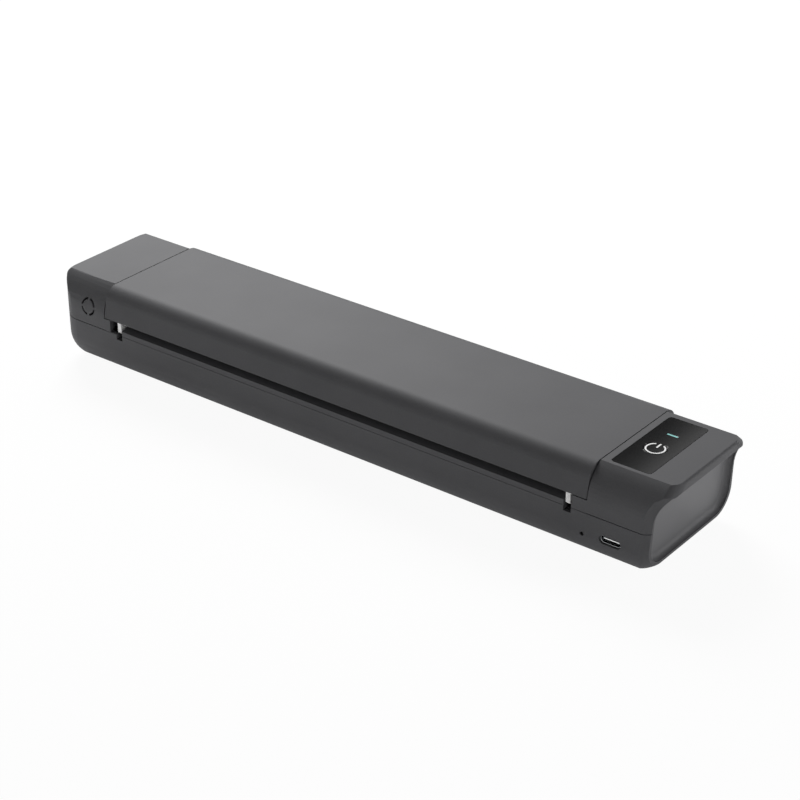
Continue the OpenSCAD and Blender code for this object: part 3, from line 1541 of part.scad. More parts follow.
module board_capacitors() {
  color("#8f9399") for (y = [-1, 1])
    translate([board_x0 + capacitor_in, capacitor_y + y * (capacitor_r + free_gap), board_z1])
      cylinder(r = capacitor_r, h = capacitor_h);
}

// Sockets of the battery lead, the motor lead and the head's flat cable
module board_sockets() {
  color("#e4e0d2") {
    for (y = [battery_socket_y, motor_socket_y])
      translate([board_x0 - socket_out, y - socket_w / 2, board_z1])
        cube([socket_d, socket_w, socket_h]);
    translate([connector_x, socket_y - socket_d / 2, board_z1])
      cube([connector_len, socket_d, socket_h]);
  }
}

// Radio module with its shield can
module wireless_module() {
  color("#b9bcbf") {
    translate([radio_x, radio_y, board_z1]) cube([radio_len, radio_d, radio_board_t]);
    translate([radio_x + radio_edge, radio_y + radio_edge, board_z1 + radio_board_t])
      rounded_slab(radio_len - 2 * radio_edge, radio_d - 5 * radio_edge, radio_can_t, radio_edge);
  }
}

module board_screws() {
  color("#8d8f92") for (spot = board_screw_spots())
    translate([spot.x, spot.y, board_z1]) mirror([0, 0, 1])
      pan_screw(board_screw_r, board_t + board_pilot_deep - over, board_screw_head_r,
        board_screw_head_t);
}

// Metal shell of the charging port, open to the front
module charging_port() {
  color("#c9cbcd") translate([port_x, port_y0, board_z1 + port_h / 2]) rotate([-90, 0, 0])
    difference() {
      stadium(port_w, port_h, port_d);
      translate([0, 0, -over])
        stadium(port_w - 2 * port_t, port_h - 2 * port_t, port_d - port_back_t + over);
    }
}

module charging_tongue() {
  color("#17181a")
    translate([port_x - port_tongue_w / 2, port_y0 + port_d - port_back_t - port_tongue_d,
      board_z1 + port_h / 2 - port_tongue_t / 2])
      cube([port_tongue_w, port_tongue_d, port_tongue_t]);
}

module reset_switch() {
  color("#2f3033") difference() {
    translate([pin_x - reset_w / 2, reset_y0, board_z1]) cube([reset_w, reset_d, reset_h]);
    translate([pin_x, reset_y0 - over, board_z1 + reset_h / 2]) rotate([-90, 0, 0])
      cylinder(r = reset_tip_r + run_gap, h = over + reset_tip_deep + reset_travel + run_gap,
        $fn = 32);
  }
}

// Side key of the reset switch, behind the pinhole
module reset_plunger() {
  color("#e8e4d8") translate([pin_x, reset_y0 - reset_tip, board_z1 + reset_h / 2])
    rotate([-90, 0, 0]) cylinder(r = reset_tip_r, h = reset_tip + reset_tip_deep, $fn = 32);
}

function foot_spots() = [for (x = [x_left + foot_x_in, x_lip - foot_x_in_right],
  y = [-foot_y, foot_y]) [x, y]];

module rubber_feet() {
  color("#151516") for (spot = foot_spots()) translate([spot.x, spot.y, 0])
    rotate_extrude() difference() {
      square([foot_r, base_z + foot_sink]);
      translate([foot_r, 0]) circle(r = foot_bevel, $fn = 4);
    }
}

module case_screws() {
  reach = screw_meet_z + screw_reach - base_z - screw_sink - screw_head_t;
  color("#5c5e61") for (spot = case_screw_spots)
    translate([spot.x, spot.y, base_z + screw_sink + screw_head_t])
      pan_screw(screw_r, reach, screw_head_r, screw_head_t);
}

top_case();
bottom_case();
end_panel();
cover_shell();
cover_guide();
roller_brackets();
bearing_collars();
cover_screws();
platen_roller();
platen_shaft();
platen_gear();
idler_gear();
idler_post();
motor_pinion();
motor_shaft();
stepper_motor();
gear_plate();
motor_screws();
hinge_pins();
head_bar();
head_ceramic();
head_driver_strip();
head_connector();
head_pivot_rod();
head_springs();
head_cable();
gloss_panel();
power_key();
power_symbol();
key_plunger();
key_switch();
light_bar();
status_light();
key_board();
key_board_screws();
buzzer();
paper_sensor();
battery_cells();
battery_sleeve();
battery_lead();
motor_lead();
main_board();
board_chips();
board_capacitors();
board_sockets();
wireless_module();
board_screws();
charging_port();
charging_tongue();
reset_switch();
reset_plunger();
rubber_feet();
case_screws();
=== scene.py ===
"""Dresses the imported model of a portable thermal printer.

It adds finishes, soft edges, small details and a plain studio.
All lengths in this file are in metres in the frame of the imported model: +X runs to the key panel,
-Y is the front where the paper comes out, and +Z is up.
"""

import json
import math

import bmesh
import bpy
from bpy.props import FloatProperty, FloatVectorProperty, PointerProperty
from bpy.types import Operator, Panel, PropertyGroup
from mathutils import Matrix, Vector


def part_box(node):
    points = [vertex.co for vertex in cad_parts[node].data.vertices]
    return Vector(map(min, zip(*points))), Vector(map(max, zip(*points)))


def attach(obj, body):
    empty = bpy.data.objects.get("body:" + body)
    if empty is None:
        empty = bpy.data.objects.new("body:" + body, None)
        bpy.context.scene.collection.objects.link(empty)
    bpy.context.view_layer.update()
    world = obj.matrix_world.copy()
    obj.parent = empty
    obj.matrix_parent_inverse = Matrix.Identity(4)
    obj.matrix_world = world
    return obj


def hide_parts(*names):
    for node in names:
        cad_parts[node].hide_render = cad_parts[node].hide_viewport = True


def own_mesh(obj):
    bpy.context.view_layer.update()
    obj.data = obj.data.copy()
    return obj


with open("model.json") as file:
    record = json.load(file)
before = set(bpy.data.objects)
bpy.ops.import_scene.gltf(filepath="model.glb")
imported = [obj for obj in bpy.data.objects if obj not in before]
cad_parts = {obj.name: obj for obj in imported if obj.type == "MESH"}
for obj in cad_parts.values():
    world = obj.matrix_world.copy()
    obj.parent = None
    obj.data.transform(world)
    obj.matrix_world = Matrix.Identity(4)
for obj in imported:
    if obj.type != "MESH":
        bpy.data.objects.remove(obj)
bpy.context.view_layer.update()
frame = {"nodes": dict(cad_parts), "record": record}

bl_info = {
    "name": "Portable printer dresser",
    "version": (1, 0, 0),
    "blender": (4, 5, 0),
    "location": "3D View > Sidebar > Printer",
    "description": "Gives the packed printer its finishes, soft edges, small details and studio",
    "category": "Object",
}

MM = 0.001

MERGE = 0.002 * MM  # corners of a CAD mesh nearer than this are one
FLAT_ANGLE = math.radians(0.3)  # faces that lean less than this are joined
SHARP_ANGLE = math.radians(22)  # edges past this stay sharp in the shading
BEVEL_ANGLE = math.radians(35)  # edges past this are rounded
BEVEL_SEGMENTS = 2
PLASTIC_IOR = 1.5
CLOUD = 30 * MM  # size of the slow changes of shade
COAT_ROUGHNESS = 0.1


def linear(code):
    """Linear RGBA of an sRGB hex colour such as '#5c5c5e'."""
    steps = [int(code[i:i + 2], 16) / 255 for i in (1, 3, 5)]
    return tuple(c / 12.92 if c <= 0.04045 else ((c + 0.055) / 1.055) ** 2.4 for c in steps) + (1.0,)


# Materials


def add_node(tree, kind, links=None, **settings):
    """Adds a node. A setting names one of its properties or inputs; links maps its inputs to sockets."""
    node = tree.nodes.new(kind)
    inputs = {}
    for key, value in settings.items():
        if hasattr(node, key):
            setattr(node, key, value)
        else:
            inputs[key] = value
    for key, value in inputs.items():
        node.inputs[key.replace("_", " ")].default_value = value
    for key, socket in (links or {}).items():
        tree.links.new(socket, node.inputs[key])
    return node


def finish(name, colour, roughness, grain, depth, metallic=0.0, spread=0.10, rough_spread=0.06,
           specular=0.5, stretch=(1, 1, 1), coat=0.0, emission=0.0):
    """A material with fine grain of a real size, slow shade changes, and relief from the same grain."""
    made = bpy.data.materials.new(name)
    made.use_nodes = True
    tree = made.node_tree
    tree.nodes.clear()
    place = add_node(tree, "ShaderNodeTexCoord")
    turned = add_node(tree, "ShaderNodeMapping", {"Vector": place.outputs["Object"]}, Scale=stretch)
    fine = add_node(tree, "ShaderNodeTexNoise", {"Vector": turned.outputs["Vector"]},
                    Scale=1 / grain, Detail=2.0, Roughness=0.55)
    slow = add_node(tree, "ShaderNodeTexNoise", {"Vector": place.outputs["Object"]},
                    Scale=1 / CLOUD, Detail=2.0, Roughness=0.5)
    shade = add_node(tree, "ShaderNodeMath", {0: fine.outputs["Fac"], 1: slow.outputs["Fac"]},
                     operation="ADD")
    spread_map = add_node(tree, "ShaderNodeMapRange", {"Value": shade.outputs["Value"]})
    spread_map.inputs["From Min"].default_value = 0.6
    spread_map.inputs["From Max"].default_value = 1.4
    spread_map.inputs["To Min"].default_value = 1 - spread
    spread_map.inputs["To Max"].default_value = 1 + spread
    tint = add_node(tree, "ShaderNodeVectorMath", {"Scale": spread_map.outputs["Result"]}, operation="SCALE")
    tint.inputs[0].default_value = linear(colour)[:3]
    rough = add_node(tree, "ShaderNodeMapRange", {"Value": fine.outputs["Fac"]})
    rough.inputs["To Min"].default_value = max(roughness - rough_spread, 0.02)
    rough.inputs["To Max"].default_value = min(roughness + rough_spread, 1.0)
    relief = add_node(tree, "ShaderNodeBump", {"Height": fine.outputs["Fac"]}, Strength=1.0, Distance=depth)
    shader = add_node(tree, "ShaderNodeBsdfPrincipled",
                      {"Base Color": tint.outputs["Vector"], "Roughness": rough.outputs["Result"],
                       "Normal": relief.outputs["Normal"]})
    shader.inputs["Metallic"].default_value = metallic
    if not metallic:
        shader.inputs["IOR"].default_value = PLASTIC_IOR
    shader.inputs["Specular IOR Level"].default_value = specular
    if coat:
        shader.inputs["Coat Weight"].default_value = coat
        shader.inputs["Coat Roughness"].default_value = COAT_ROUGHNESS
    if emission:
        shader.inputs["Emission Color"].default_value = linear(colour)
        shader.inputs["Emission Strength"].default_value = emission
    out = add_node(tree, "ShaderNodeOutputMaterial", {"Surface": shader.outputs["BSDF"]})
    out.is_active_output = True
    return made


def make_finishes():
    """One material for each finish of the real printer."""
    colours = bpy.context.scene.printer_colours

    def shade(prop):
        return "#" + "".join("%02x" % round(255 * c) for c in getattr(colours, prop))

    made = {}
    # Spark-eroded ABS moulding: dull, with a speckle of about 0.4 mm that breaks up the light
    made["case_plastic"] = finish("abs_spark_eroded", shade("case"), 0.6, 0.45 * MM, 0.02 * MM, specular=0.15)
    # The same moulding, polished finer, on the end of the casing; its lighter colour is painted light on the
    # end face
    made["end_plastic"] = finish("abs_fine_texture_painted_light", shade("end"), 0.5, 0.35 * MM, 0.012 * MM, specular=0.35)
    # Plain black ABS of the inner pieces
    made["dark_plastic"] = finish("abs_black_plain", "#26272a", 0.45, 0.6 * MM, 0.005 * MM)
    # Zinc plated sheet: pale spangle, half dull
    made["bracket_steel"] = finish("steel_zinc_plated", "#8b8d90", 0.38, 3 * MM, 0.002 * MM, metallic=1.0)
    # Acetal: waxy white, with a soft shine
    made["bearing_plastic"] = finish("acetal_white", shade("bearing"), 0.38, 0.8 * MM, 0.004 * MM,
                                     spread=0.02)
    # Ground steel: fine lines round the shaft
    made["bright_steel"] = finish("steel_ground", "#b9bbbd", 0.22, 0.3 * MM, 0.002 * MM, metallic=1.0,
                                  stretch=(1, 0.1, 0.1))
    # Pale plating of the port's tongue: a clear bright line inside the dark mouth
    made["tongue_steel"] = finish("steel_tongue_plated", "#eeefef", 0.3, 0.5 * MM, 0.001 * MM, metallic=1.0)
    # Zinc plated screws: grey, with a dull shine on their heads
    made["screw_steel"] = finish("steel_screw_zinc", "#8d8f92", 0.34, 0.5 * MM, 0.003 * MM, metallic=1.0)
    # Ground silicone: black, velvety
    made["roller_rubber"] = finish("silicone_ground", "#1d1d1f", 0.75, 0.3 * MM, 0.01 * MM)
    # Acetal gears: dark grey, half shiny
    made["gear_plastic"] = finish("acetal_grey", "#3c3e42", 0.4, 0.6 * MM, 0.004 * MM)
    # Hobbed brass: warm yellow, bright on the teeth
    made["pinion_brass"] = finish("brass_hobbed", "#c8a25a", 0.25, 0.3 * MM, 0.002 * MM, metallic=1.0)
    # Nickel plated drawn can: even and pale
    made["motor_can"] = finish("steel_nickel_plated", "#a8a9aa", 0.3, 1.5 * MM, 0.002 * MM, metallic=1.0)
    # Milled aluminium of the print head's bar: fine lines along it
    made["head_aluminium"] = finish("aluminium_milled", "#aeb1b4", 0.35, 0.5 * MM, 0.003 * MM, metallic=1.0,
                                    stretch=(0.1, 1, 1))
    # Glazed alumina: off-white, glassy
    made["head_ceramic"] = finish("alumina_glazed", "#d8d6cf", 0.12, 1.0 * MM, 0.001 * MM, spread=0.03,
                                  coat=0.5)
    # Natural nylon of plugs and sockets: cream, half dull
    made["cream_plastic"] = finish("nylon_natural", "#e4e0d2", 0.42, 0.7 * MM, 0.004 * MM, spread=0.03)
    # Polyester film of the flat cable: pale, slightly shiny
    made["ribbon_plastic"] = finish("polyester_film", "#e9e6dc", 0.3, 1.2 * MM, 0.002 * MM, spread=0.03)
    # Polished black ABS of the key panel: mirror-like, with a faint waviness
    made["gloss_black"] = finish("abs_gloss_black", shade("panel"), 0.10, 9 * MM, 0.002 * MM, spread=0.04,
                                 rough_spread=0.01)
    # Printed mark: plain even white
    made["white_mark"] = finish("ink_white", shade("symbol"), 0.35, 0.5 * MM, 0.002 * MM, spread=0.015)
    # Frosted polycarbonate over the status light: pale teal, faintly lit from below
    made["light_plastic"] = finish("polycarbonate_frosted", shade("light"), 0.3, 0.5 * MM, 0.003 * MM,
                                   spread=0.02, emission=0.15)
    # Solder mask on glass laminate: green, mottled, half shiny
    made["board_green"] = finish("laminate_green", "#1f5a3a", 0.3, 0.7 * MM, 0.003 * MM, spread=0.12)
    # Drawn can of the cells: grey, with fine lines along it
    made["cell_can"] = finish("can_drawn", "#8f9399", 0.3, 0.6 * MM, 0.002 * MM, metallic=1.0,
                              stretch=(0.2, 1, 1))
    # Shrink film round the cells: dark blue, shiny and faintly rippled
    made["sleeve_blue"] = finish("shrink_film_blue", "#24466b", 0.25, 2 * MM, 0.01 * MM)
    # Insulation of the leads: even colour, half dull
    made["lead_red"] = finish("insulation_red", "#b3282d", 0.4, 0.6 * MM, 0.004 * MM)
    made["lead_black"] = finish("insulation_black", "#2b2c2f", 0.4, 0.6 * MM, 0.004 * MM)
    # Moulded rubber of the feet: black and dull
    made["foot_rubber"] = finish("rubber_moulded", "#151516", 0.8, 0.5 * MM, 0.01 * MM)
    return made


FINISHES = {}


def node_slots():
    """Name of the material slot of each CAD node in the record."""
    return {row["node"]: row["material_slot"] for row in frame["record"]["subparts"]}


def give_finish(obj, slot_name):
    """Gives a piece the finish of the slot of that name."""
    obj.data.materials.clear()
    obj.data.materials.append(FINISHES[slot_name])


def dress_nodes(*names):
    """Gives CAD nodes the finish of their slot in the record."""
    slots = node_slots()
    for name in names:
        obj = frame["nodes"][name]
        obj.data.materials.clear()
        obj.data.materials.append(FINISHES[slots[name]])


# Meshes


def merged_copy(node, name):
    """A merged copy of a CAD node, with flat areas joined to single faces."""
    copy = frame["nodes"][node].data.copy()
    mesh = bmesh.new()
    mesh.from_mesh(copy)
    bmesh.ops.remove_doubles(mesh, verts=mesh.verts, dist=MERGE)
    bmesh.ops.dissolve_limit(mesh, angle_limit=FLAT_ANGLE, verts=mesh.verts, edges=mesh.edges)
    mesh.to_mesh(copy)
    mesh.free()
    copy.name = name
    obj = bpy.data.objects.new(name, copy)
    bpy.context.scene.collection.objects.link(obj)
    return obj


def apply_modifiers(obj):
    """Turns the object's modifiers into plain mesh."""
    view = bpy.context.evaluated_depsgraph_get()
    done = bpy.data.meshes.new_from_object(obj.evaluated_get(view), depsgraph=view)
    done.name = obj.data.name
    obj.modifiers.clear()
    obj.data = done


def soften(obj, width):
    """Rounds the sharp edges of a piece, so that they catch light as moulded ones do; flats stay flat."""
    for polygon in obj.data.polygons:
        polygon.use_smooth = True
    obj.data.set_sharp_from_angle(angle=SHARP_ANGLE)
    if width:
        bevel = obj.modifiers.new("edges", "BEVEL")
        bevel.width = width
        bevel.segments = BEVEL_SEGMENTS
        bevel.limit_method = "ANGLE"
        bevel.angle_limit = BEVEL_ANGLE
        bevel.use_clamp_overlap = True
        bevel.harden_normals = False
    weight = obj.modifiers.new("normals", "WEIGHTED_NORMAL")
    weight.keep_sharp = True
    apply_modifiers(obj)


def soft_node(node, width):
    """A soft-edged stand-in for a CAD node, on the same body, in the same finish."""
    obj = merged_copy(node, node + "_soft")
    soften(obj, width)
    give_finish(obj, node_slots()[node])
    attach(obj, body_named(node))
    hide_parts(node)


def body_named(node):
    """Name of the body that carries a CAD node."""
    for name, nodes in frame["record"]["behaviour"]["bodies"].items():
        if node in nodes:
            return name
    raise RuntimeError("no body carries " + node)


def box_parts(node):
    """Lowest and highest corner of each loose part of a CAD node."""
    mesh = bmesh.new()
    mesh.from_mesh(frame["nodes"][node].data)
    bmesh.ops.remove_doubles(mesh, verts=mesh.verts, dist=MERGE)
    left = set(mesh.verts)
    boxes = []
    while left:
        group = [left.pop()]
        for vert in group:
            near = {edge.other_vert(vert) for edge in vert.link_edges} & left
            left -= near
            group.extend(near)
        boxes.append(tuple(Vector([pick(vert.co[i] for vert in group) for i in range(3)])
                           for pick in (min, max)))
    mesh.free()
    return sorted(boxes, key=lambda box: tuple(box[0]))


def new_piece(name, mesh, body, slot_name, *nodes):
    """A finished mesh as a piece on a body, in a slot's finish, in place of CAD nodes if any are named."""
    piece = bpy.data.objects.new(name, mesh)
    bpy.context.scene.collection.objects.link(piece)
    give_finish(piece, slot_name)
    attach(piece, body)
    if nodes:
        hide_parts(*nodes)
    return piece


def lofted(name, rings):
    """A closed mesh skinned over rings of equally many points, with both ends capped."""
    mesh = bmesh.new()
    rows = [[mesh.verts.new(point) for point in ring] for ring in rings]
    for low, high in zip(rows, rows[1:]):
        for i, vert in enumerate(low):
            j = (i + 1) % len(low)
            mesh.faces.new((vert, low[j], high[j], high[i]))
    mesh.faces.new(reversed(rows[0]))
    mesh.faces.new(rows[-1])
    bmesh.ops.recalc_face_normals(mesh, faces=mesh.faces)
    data = bpy.data.meshes.new(name)
    mesh.to_mesh(data)
    mesh.free()
    return data


# Geometry Nodes


def open_tree(name, **sizes):
    """A Geometry Nodes tree with named inputs for its sizes, and its input node."""
    tree = bpy.data.node_groups.new(name, "GeometryNodeTree")
    tree.interface.new_socket("Geometry", in_out="INPUT", socket_type="NodeSocketGeometry")
    for key, value in sizes.items():
        kind = "NodeSocketInt" if isinstance(value, int) else "NodeSocketFloat"
        socket = tree.interface.new_socket(key.replace("_", " "), in_out="INPUT", socket_type=kind)
        socket.default_value = value
    tree.interface.new_socket("Geometry", in_out="OUTPUT", socket_type="NodeSocketGeometry")
    return tree, add_node(tree, "NodeGroupInput")


def close_tree(tree, geometry, slot_name):
    """Ends a tree with smooth plain geometry in the finish of a slot."""
    smooth = add_node(tree, "GeometryNodeSetShadeSmooth", {"Geometry": geometry})
    plain = add_node(tree, "GeometryNodeRealizeInstances", {"Geometry": smooth.outputs["Geometry"]})
    dressed = add_node(tree, "GeometryNodeSetMaterial", {"Geometry": plain.outputs["Geometry"]},
                       Material=FINISHES[slot_name])
    add_node(tree, "NodeGroupOutput", {"Geometry": dressed.outputs["Geometry"]})


def grow(name, tree, points, edges=(), **sizes):
    """The plain mesh that a tree makes from a few points and edges."""
    seed = bpy.data.meshes.new(name + "_seed")
    seed.from_pydata(points, edges, [])
    maker = bpy.data.objects.new(name + "_seed", seed)
    bpy.context.scene.collection.objects.link(maker)
    modifier = maker.modifiers.new("grow", "NODES")
    modifier.node_group = tree
    sockets = {item.name: item.identifier for item in tree.interface.items_tree
               if item.in_out == "INPUT"}
    for key, value in sizes.items():
        modifier[sockets[key.replace("_", " ")]] = value
    view = bpy.context.evaluated_depsgraph_get()
    mesh = bpy.data.meshes.new_from_object(maker.evaluated_get(view), depsgraph=view)
    mesh.name = name
    maker.modifiers.clear()
    bpy.data.objects.remove(maker)
    if len(mesh.polygons) == 0:
        raise RuntimeError("no geometry for " + name)
    return mesh


def coil_tree(slot_name):
    """A round wire coil on each point of the seed."""
    tree, sizes = open_tree("coil", Coil_radius=2.2 * MM, Wire_radius=0.35 * MM, Height=7.0 * MM, Turns=5.0)
    line = add_node(tree, "GeometryNodeCurveSpiral", {
        "Rotations": sizes.outputs["Turns"], "Start Radius": sizes.outputs["Coil radius"],
        "End Radius": sizes.outputs["Coil radius"], "Height": sizes.outputs["Height"]}, Resolution=24)
    wire = add_node(tree, "GeometryNodeCurvePrimitiveCircle", {"Radius": sizes.outputs["Wire radius"]},
                    Resolution=12)
    swept = add_node(tree, "GeometryNodeCurveToMesh", {"Curve": line.outputs["Curve"],
                                                       "Profile Curve": wire.outputs["Curve"]})
    swept.inputs["Fill Caps"].default_value = True
    placed = add_node(tree, "GeometryNodeInstanceOnPoints", {"Points": sizes.outputs["Geometry"],
                                                             "Instance": swept.outputs["Mesh"]})
    close_tree(tree, placed.outputs["Instances"], slot_name)
    return tree


LEAD_STEP = 0.9 * MM  # distance between the rings of a lead


def lead_tree(slot_name):
    """A bundle of twisted round wires along the seed's path."""
    tree, sizes = open_tree("lead", Wires=3, Wire_radius=0.5 * MM, Bundle_radius=0.59 * MM, Lay=16.0 * MM)
    path = add_node(tree, "GeometryNodeMeshToCurve", {"Mesh": sizes.outputs["Geometry"]})
    bent = add_node(tree, "GeometryNodeCurveSplineType", {"Curve": path.outputs["Curve"]},
                    spline_type="CATMULL_ROM")
    even = add_node(tree, "GeometryNodeResampleCurve", {"Curve": bent.outputs["Curve"]}, mode="LENGTH")
    even.inputs["Length"].default_value = LEAD_STEP
    along = add_node(tree, "GeometryNodeSplineParameter")
    share = add_node(tree, "ShaderNodeMath", {0: along.outputs["Length"], 1: sizes.outputs["Lay"]},
                     operation="DIVIDE")
    turn = add_node(tree, "ShaderNodeMath", {0: share.outputs["Value"]}, operation="MULTIPLY")
    turn.inputs[1].default_value = 2 * math.pi
    twisted = add_node(tree, "GeometryNodeSetCurveTilt", {"Curve": even.outputs["Curve"],
                                                          "Tilt": turn.outputs["Value"]})
    wire = add_node(tree, "GeometryNodeCurvePrimitiveCircle", {"Radius": sizes.outputs["Wire radius"]},
                    Resolution=10)
    round_it = add_node(tree, "GeometryNodeMeshCircle", {"Vertices": sizes.outputs["Wires"],
                                                         "Radius": sizes.outputs["Bundle radius"]})
    spread = add_node(tree, "GeometryNodeInstanceOnPoints", {"Points": round_it.outputs["Mesh"],
                                                             "Instance": wire.outputs["Curve"]})
    bundle = add_node(tree, "GeometryNodeRealizeInstances", {"Geometry": spread.outputs["Instances"]})
    swept = add_node(tree, "GeometryNodeCurveToMesh", {"Curve": twisted.outputs["Curve"],
                                                       "Profile Curve": bundle.outputs["Geometry"]})
    swept.inputs["Fill Caps"].default_value = True
    close_tree(tree, swept.outputs["Mesh"], slot_name)
    return tree


PIN_PITCH = 0.65 * MM
PIN_REACH = 0.8 * MM  # how far a pin's foot stands out of the chip
PIN_WIDE, PIN_THICK = 0.28 * MM, 0.12 * MM
PIN_FOOT = PIN_THICK / 2  # height of the middle of its foot
PIN_SHOULDER, PIN_HEEL = 0.5 * MM, 0.25 * MM  # handles that bend it at the top and at the foot


def pin_tree(slot_name):
    """Bent pins on the four sides of a square chip, round each point of the seed."""
    tree, sizes = open_tree("pins", Side=8.0 * MM, Pins=10, Pitch=PIN_PITCH, Rise=0.6 * MM)
    low = add_node(tree, "GeometryNodeCurvePrimitiveBezierSegment", Resolution=6)
    low.inputs["End"].default_value = (PIN_REACH, 0, PIN_FOOT)
    low.inputs["End Handle"].default_value = (PIN_HEEL, 0, PIN_FOOT)
    start = add_node(tree, "ShaderNodeCombineXYZ", {"Z": sizes.outputs["Rise"]})
    handle = add_node(tree, "ShaderNodeCombineXYZ", {"Z": sizes.outputs["Rise"]}, X=PIN_SHOULDER)
    tree.links.new(start.outputs["Vector"], low.inputs["Start"])
    tree.links.new(handle.outputs["Vector"], low.inputs["Start Handle"])
    strip = add_node(tree, "GeometryNodeCurvePrimitiveQuadrilateral", Width=PIN_THICK, Height=PIN_WIDE)
    pin = add_node(tree, "GeometryNodeCurveToMesh", {"Curve": low.outputs["Curve"],
                                                     "Profile Curve": strip.outputs["Curve"]})
    pin.inputs["Fill Caps"].default_value = True
    half = add_node(tree, "ShaderNodeMath", {0: sizes.outputs["Side"]}, operation="MULTIPLY")
    half.inputs[1].default_value = 0.5
    step = add_node(tree, "ShaderNodeCombineXYZ", {"Y": sizes.outputs["Pitch"]})
    gaps = add_node(tree, "ShaderNodeMath", {0: sizes.outputs["Pins"]}, operation="SUBTRACT")
    gaps.inputs[1].default_value = 1
    run = add_node(tree, "ShaderNodeMath", {0: gaps.outputs["Value"], 1: sizes.outputs["Pitch"]},
                   operation="MULTIPLY")
    back = add_node(tree, "ShaderNodeMath", {0: run.outputs["Value"]}, operation="MULTIPLY")
    back.inputs[1].default_value = -0.5
    first = add_node(tree, "ShaderNodeCombineXYZ", {"X": half.outputs["Value"], "Y": back.outputs["Value"]})
    line = add_node(tree, "GeometryNodeMeshLine", {"Count": sizes.outputs["Pins"],
                                                   "Start Location": first.outputs["Vector"],
                                                   "Offset": step.outputs["Vector"]})
    row = add_node(tree, "GeometryNodeInstanceOnPoints", {"Points": line.outputs["Mesh"],
                                                          "Instance": pin.outputs["Mesh"]})
    sides = add_node(tree, "GeometryNodeMeshLine", Count=4, Offset=(0, 0, 0))
    number = add_node(tree, "GeometryNodeInputIndex")
    quarter = add_node(tree, "ShaderNodeMath", {0: number.outputs["Index"]}, operation="MULTIPLY")
    quarter.inputs[1].default_value = math.pi / 2
    turned = add_node(tree, "ShaderNodeCombineXYZ", {"Z": quarter.outputs["Value"]})
    ring = add_node(tree, "GeometryNodeInstanceOnPoints", {"Points": sides.outputs["Mesh"],
                                                           "Instance": row.outputs["Instances"],
                                                           "Rotation": turned.outputs["Vector"]})
    placed = add_node(tree, "GeometryNodeInstanceOnPoints", {"Points": sizes.outputs["Geometry"],
                                                             "Instance": ring.outputs["Instances"]})
    close_tree(tree, placed.outputs["Instances"], slot_name)
    return tree


# Settings


def colour(name, code, description):
    """A colour setting with an sRGB hex default."""
    return FloatVectorProperty(
        name=name, description=description, subtype="COLOR_GAMMA", size=3, min=0.0, max=1.0,
        default=[int(code[i:i + 2], 16) / 255 for i in (1, 3, 5)])


class PRINTER_PG_colours(PropertyGroup):
    """Colours that the photo shows"""
    case: colour("Casing", "#5a5a5c", "Colour of both cases and the cover")
    # Lighter than the casing colour: painted light on the end face, which is the same moulding as the casing
    end: colour("End", "#6a6a6c", "Colour of the panel in the right end")
    bearing: colour("Bearings", "#fafaf9", "Colour of the platen bearings")
    panel: colour("Key panel", "#0b0b0c", "Colour of the gloss panel")
    symbol: colour("Symbol", "#fcfcfc", "Colour of the power symbol")
    light: colour("Light", "#8fd0cc", "Colour of the light bar")
    floor: colour("Floor", "#ffffff", "Colour of the floor")


class PRINTER_PG_sizes(PropertyGroup):
    """Sizes of the forms that this file adds"""
    edge: FloatProperty(name="Edge radius", description="Rounding of the moulded edges",
                        default=0.25 * MM, min=0.0, max=0.6 * MM, unit="LENGTH", precision=5)
    hollow: FloatProperty(name="End hollow", description="Radius of the hollow curve round the end panel",
                          default=2.4 * MM, min=0.5 * MM, max=2.5 * MM, unit="LENGTH", precision=5)
    wire: FloatProperty(name="Spring wire", description="Radius of the wire of the print head's springs",
                        default=0.35 * MM, min=0.2 * MM, max=0.35 * MM, unit="LENGTH", precision=5)


class PRINTER_PG_stage(PropertyGroup):
    """Camera and light"""
    lens: FloatProperty(name="Lens", description="Focal length of the camera in millimetres", default=93.83,
                        min=50, max=200)
    key_power: FloatProperty(name="Top light", description="Power of the soft light above", default=13.2,
                             min=0, max=60, unit="POWER")
    side_power: FloatProperty(name="End light", description="Power of the light from the right", default=3.2,
                              min=0, max=60, unit="POWER")
    card_power: FloatProperty(name="Panel card", description="Power of the card mirrored in the gloss panel",
                              default=0.45, min=0, max=5, unit="POWER")
    ambient: FloatProperty(name="Ambient", description="Strength of the even light all round", default=0.12,
                           min=0, max=2)
    bounce: FloatProperty(name="Bounce", description="Share of light that the floor throws back",
                          default=0.80, min=0, max=1)
    glow: FloatProperty(name="Table glow", description="Light that the table itself gives from below",
                        default=0.40, min=0, max=1)


# Stage

# Camera solved from the edges in the photo: its place, and its right, up and back directions
CAMERA_AT = Vector((0.4539, -0.5726, 0.4080))
CAMERA_RIGHT = Vector((0.790644, 0.612277, 0.0))
CAMERA_UP = Vector((-0.290157, 0.374685, 0.880579))
CAMERA_BACK = Vector((0.539158, -0.696224, 0.473899))

FLOOR_REACH = 6.0
FLOOR_DROP = 0.02 * MM  # keeps the floor clear of the feet
FLOOR_WHITE = 0.94  # share of plain white that the camera sees; the rest is lit paper with the shadow
ROOM_BACK = 0.06  # what glossy finishes mirror behind the object; in front of it they mirror white
ROOM_FADE = (-0.3, 0.4)  # where, along +Y, the room goes from white to that


def aimed(at, to):
    """Placement of a lamp at one point that shines to another."""
    back = (Vector(at) - Vector(to)).normalized()
    turn = back.to_track_quat("Z", "Y").to_matrix().to_4x4()
    return Matrix.Translation(Vector(at)) @ turn


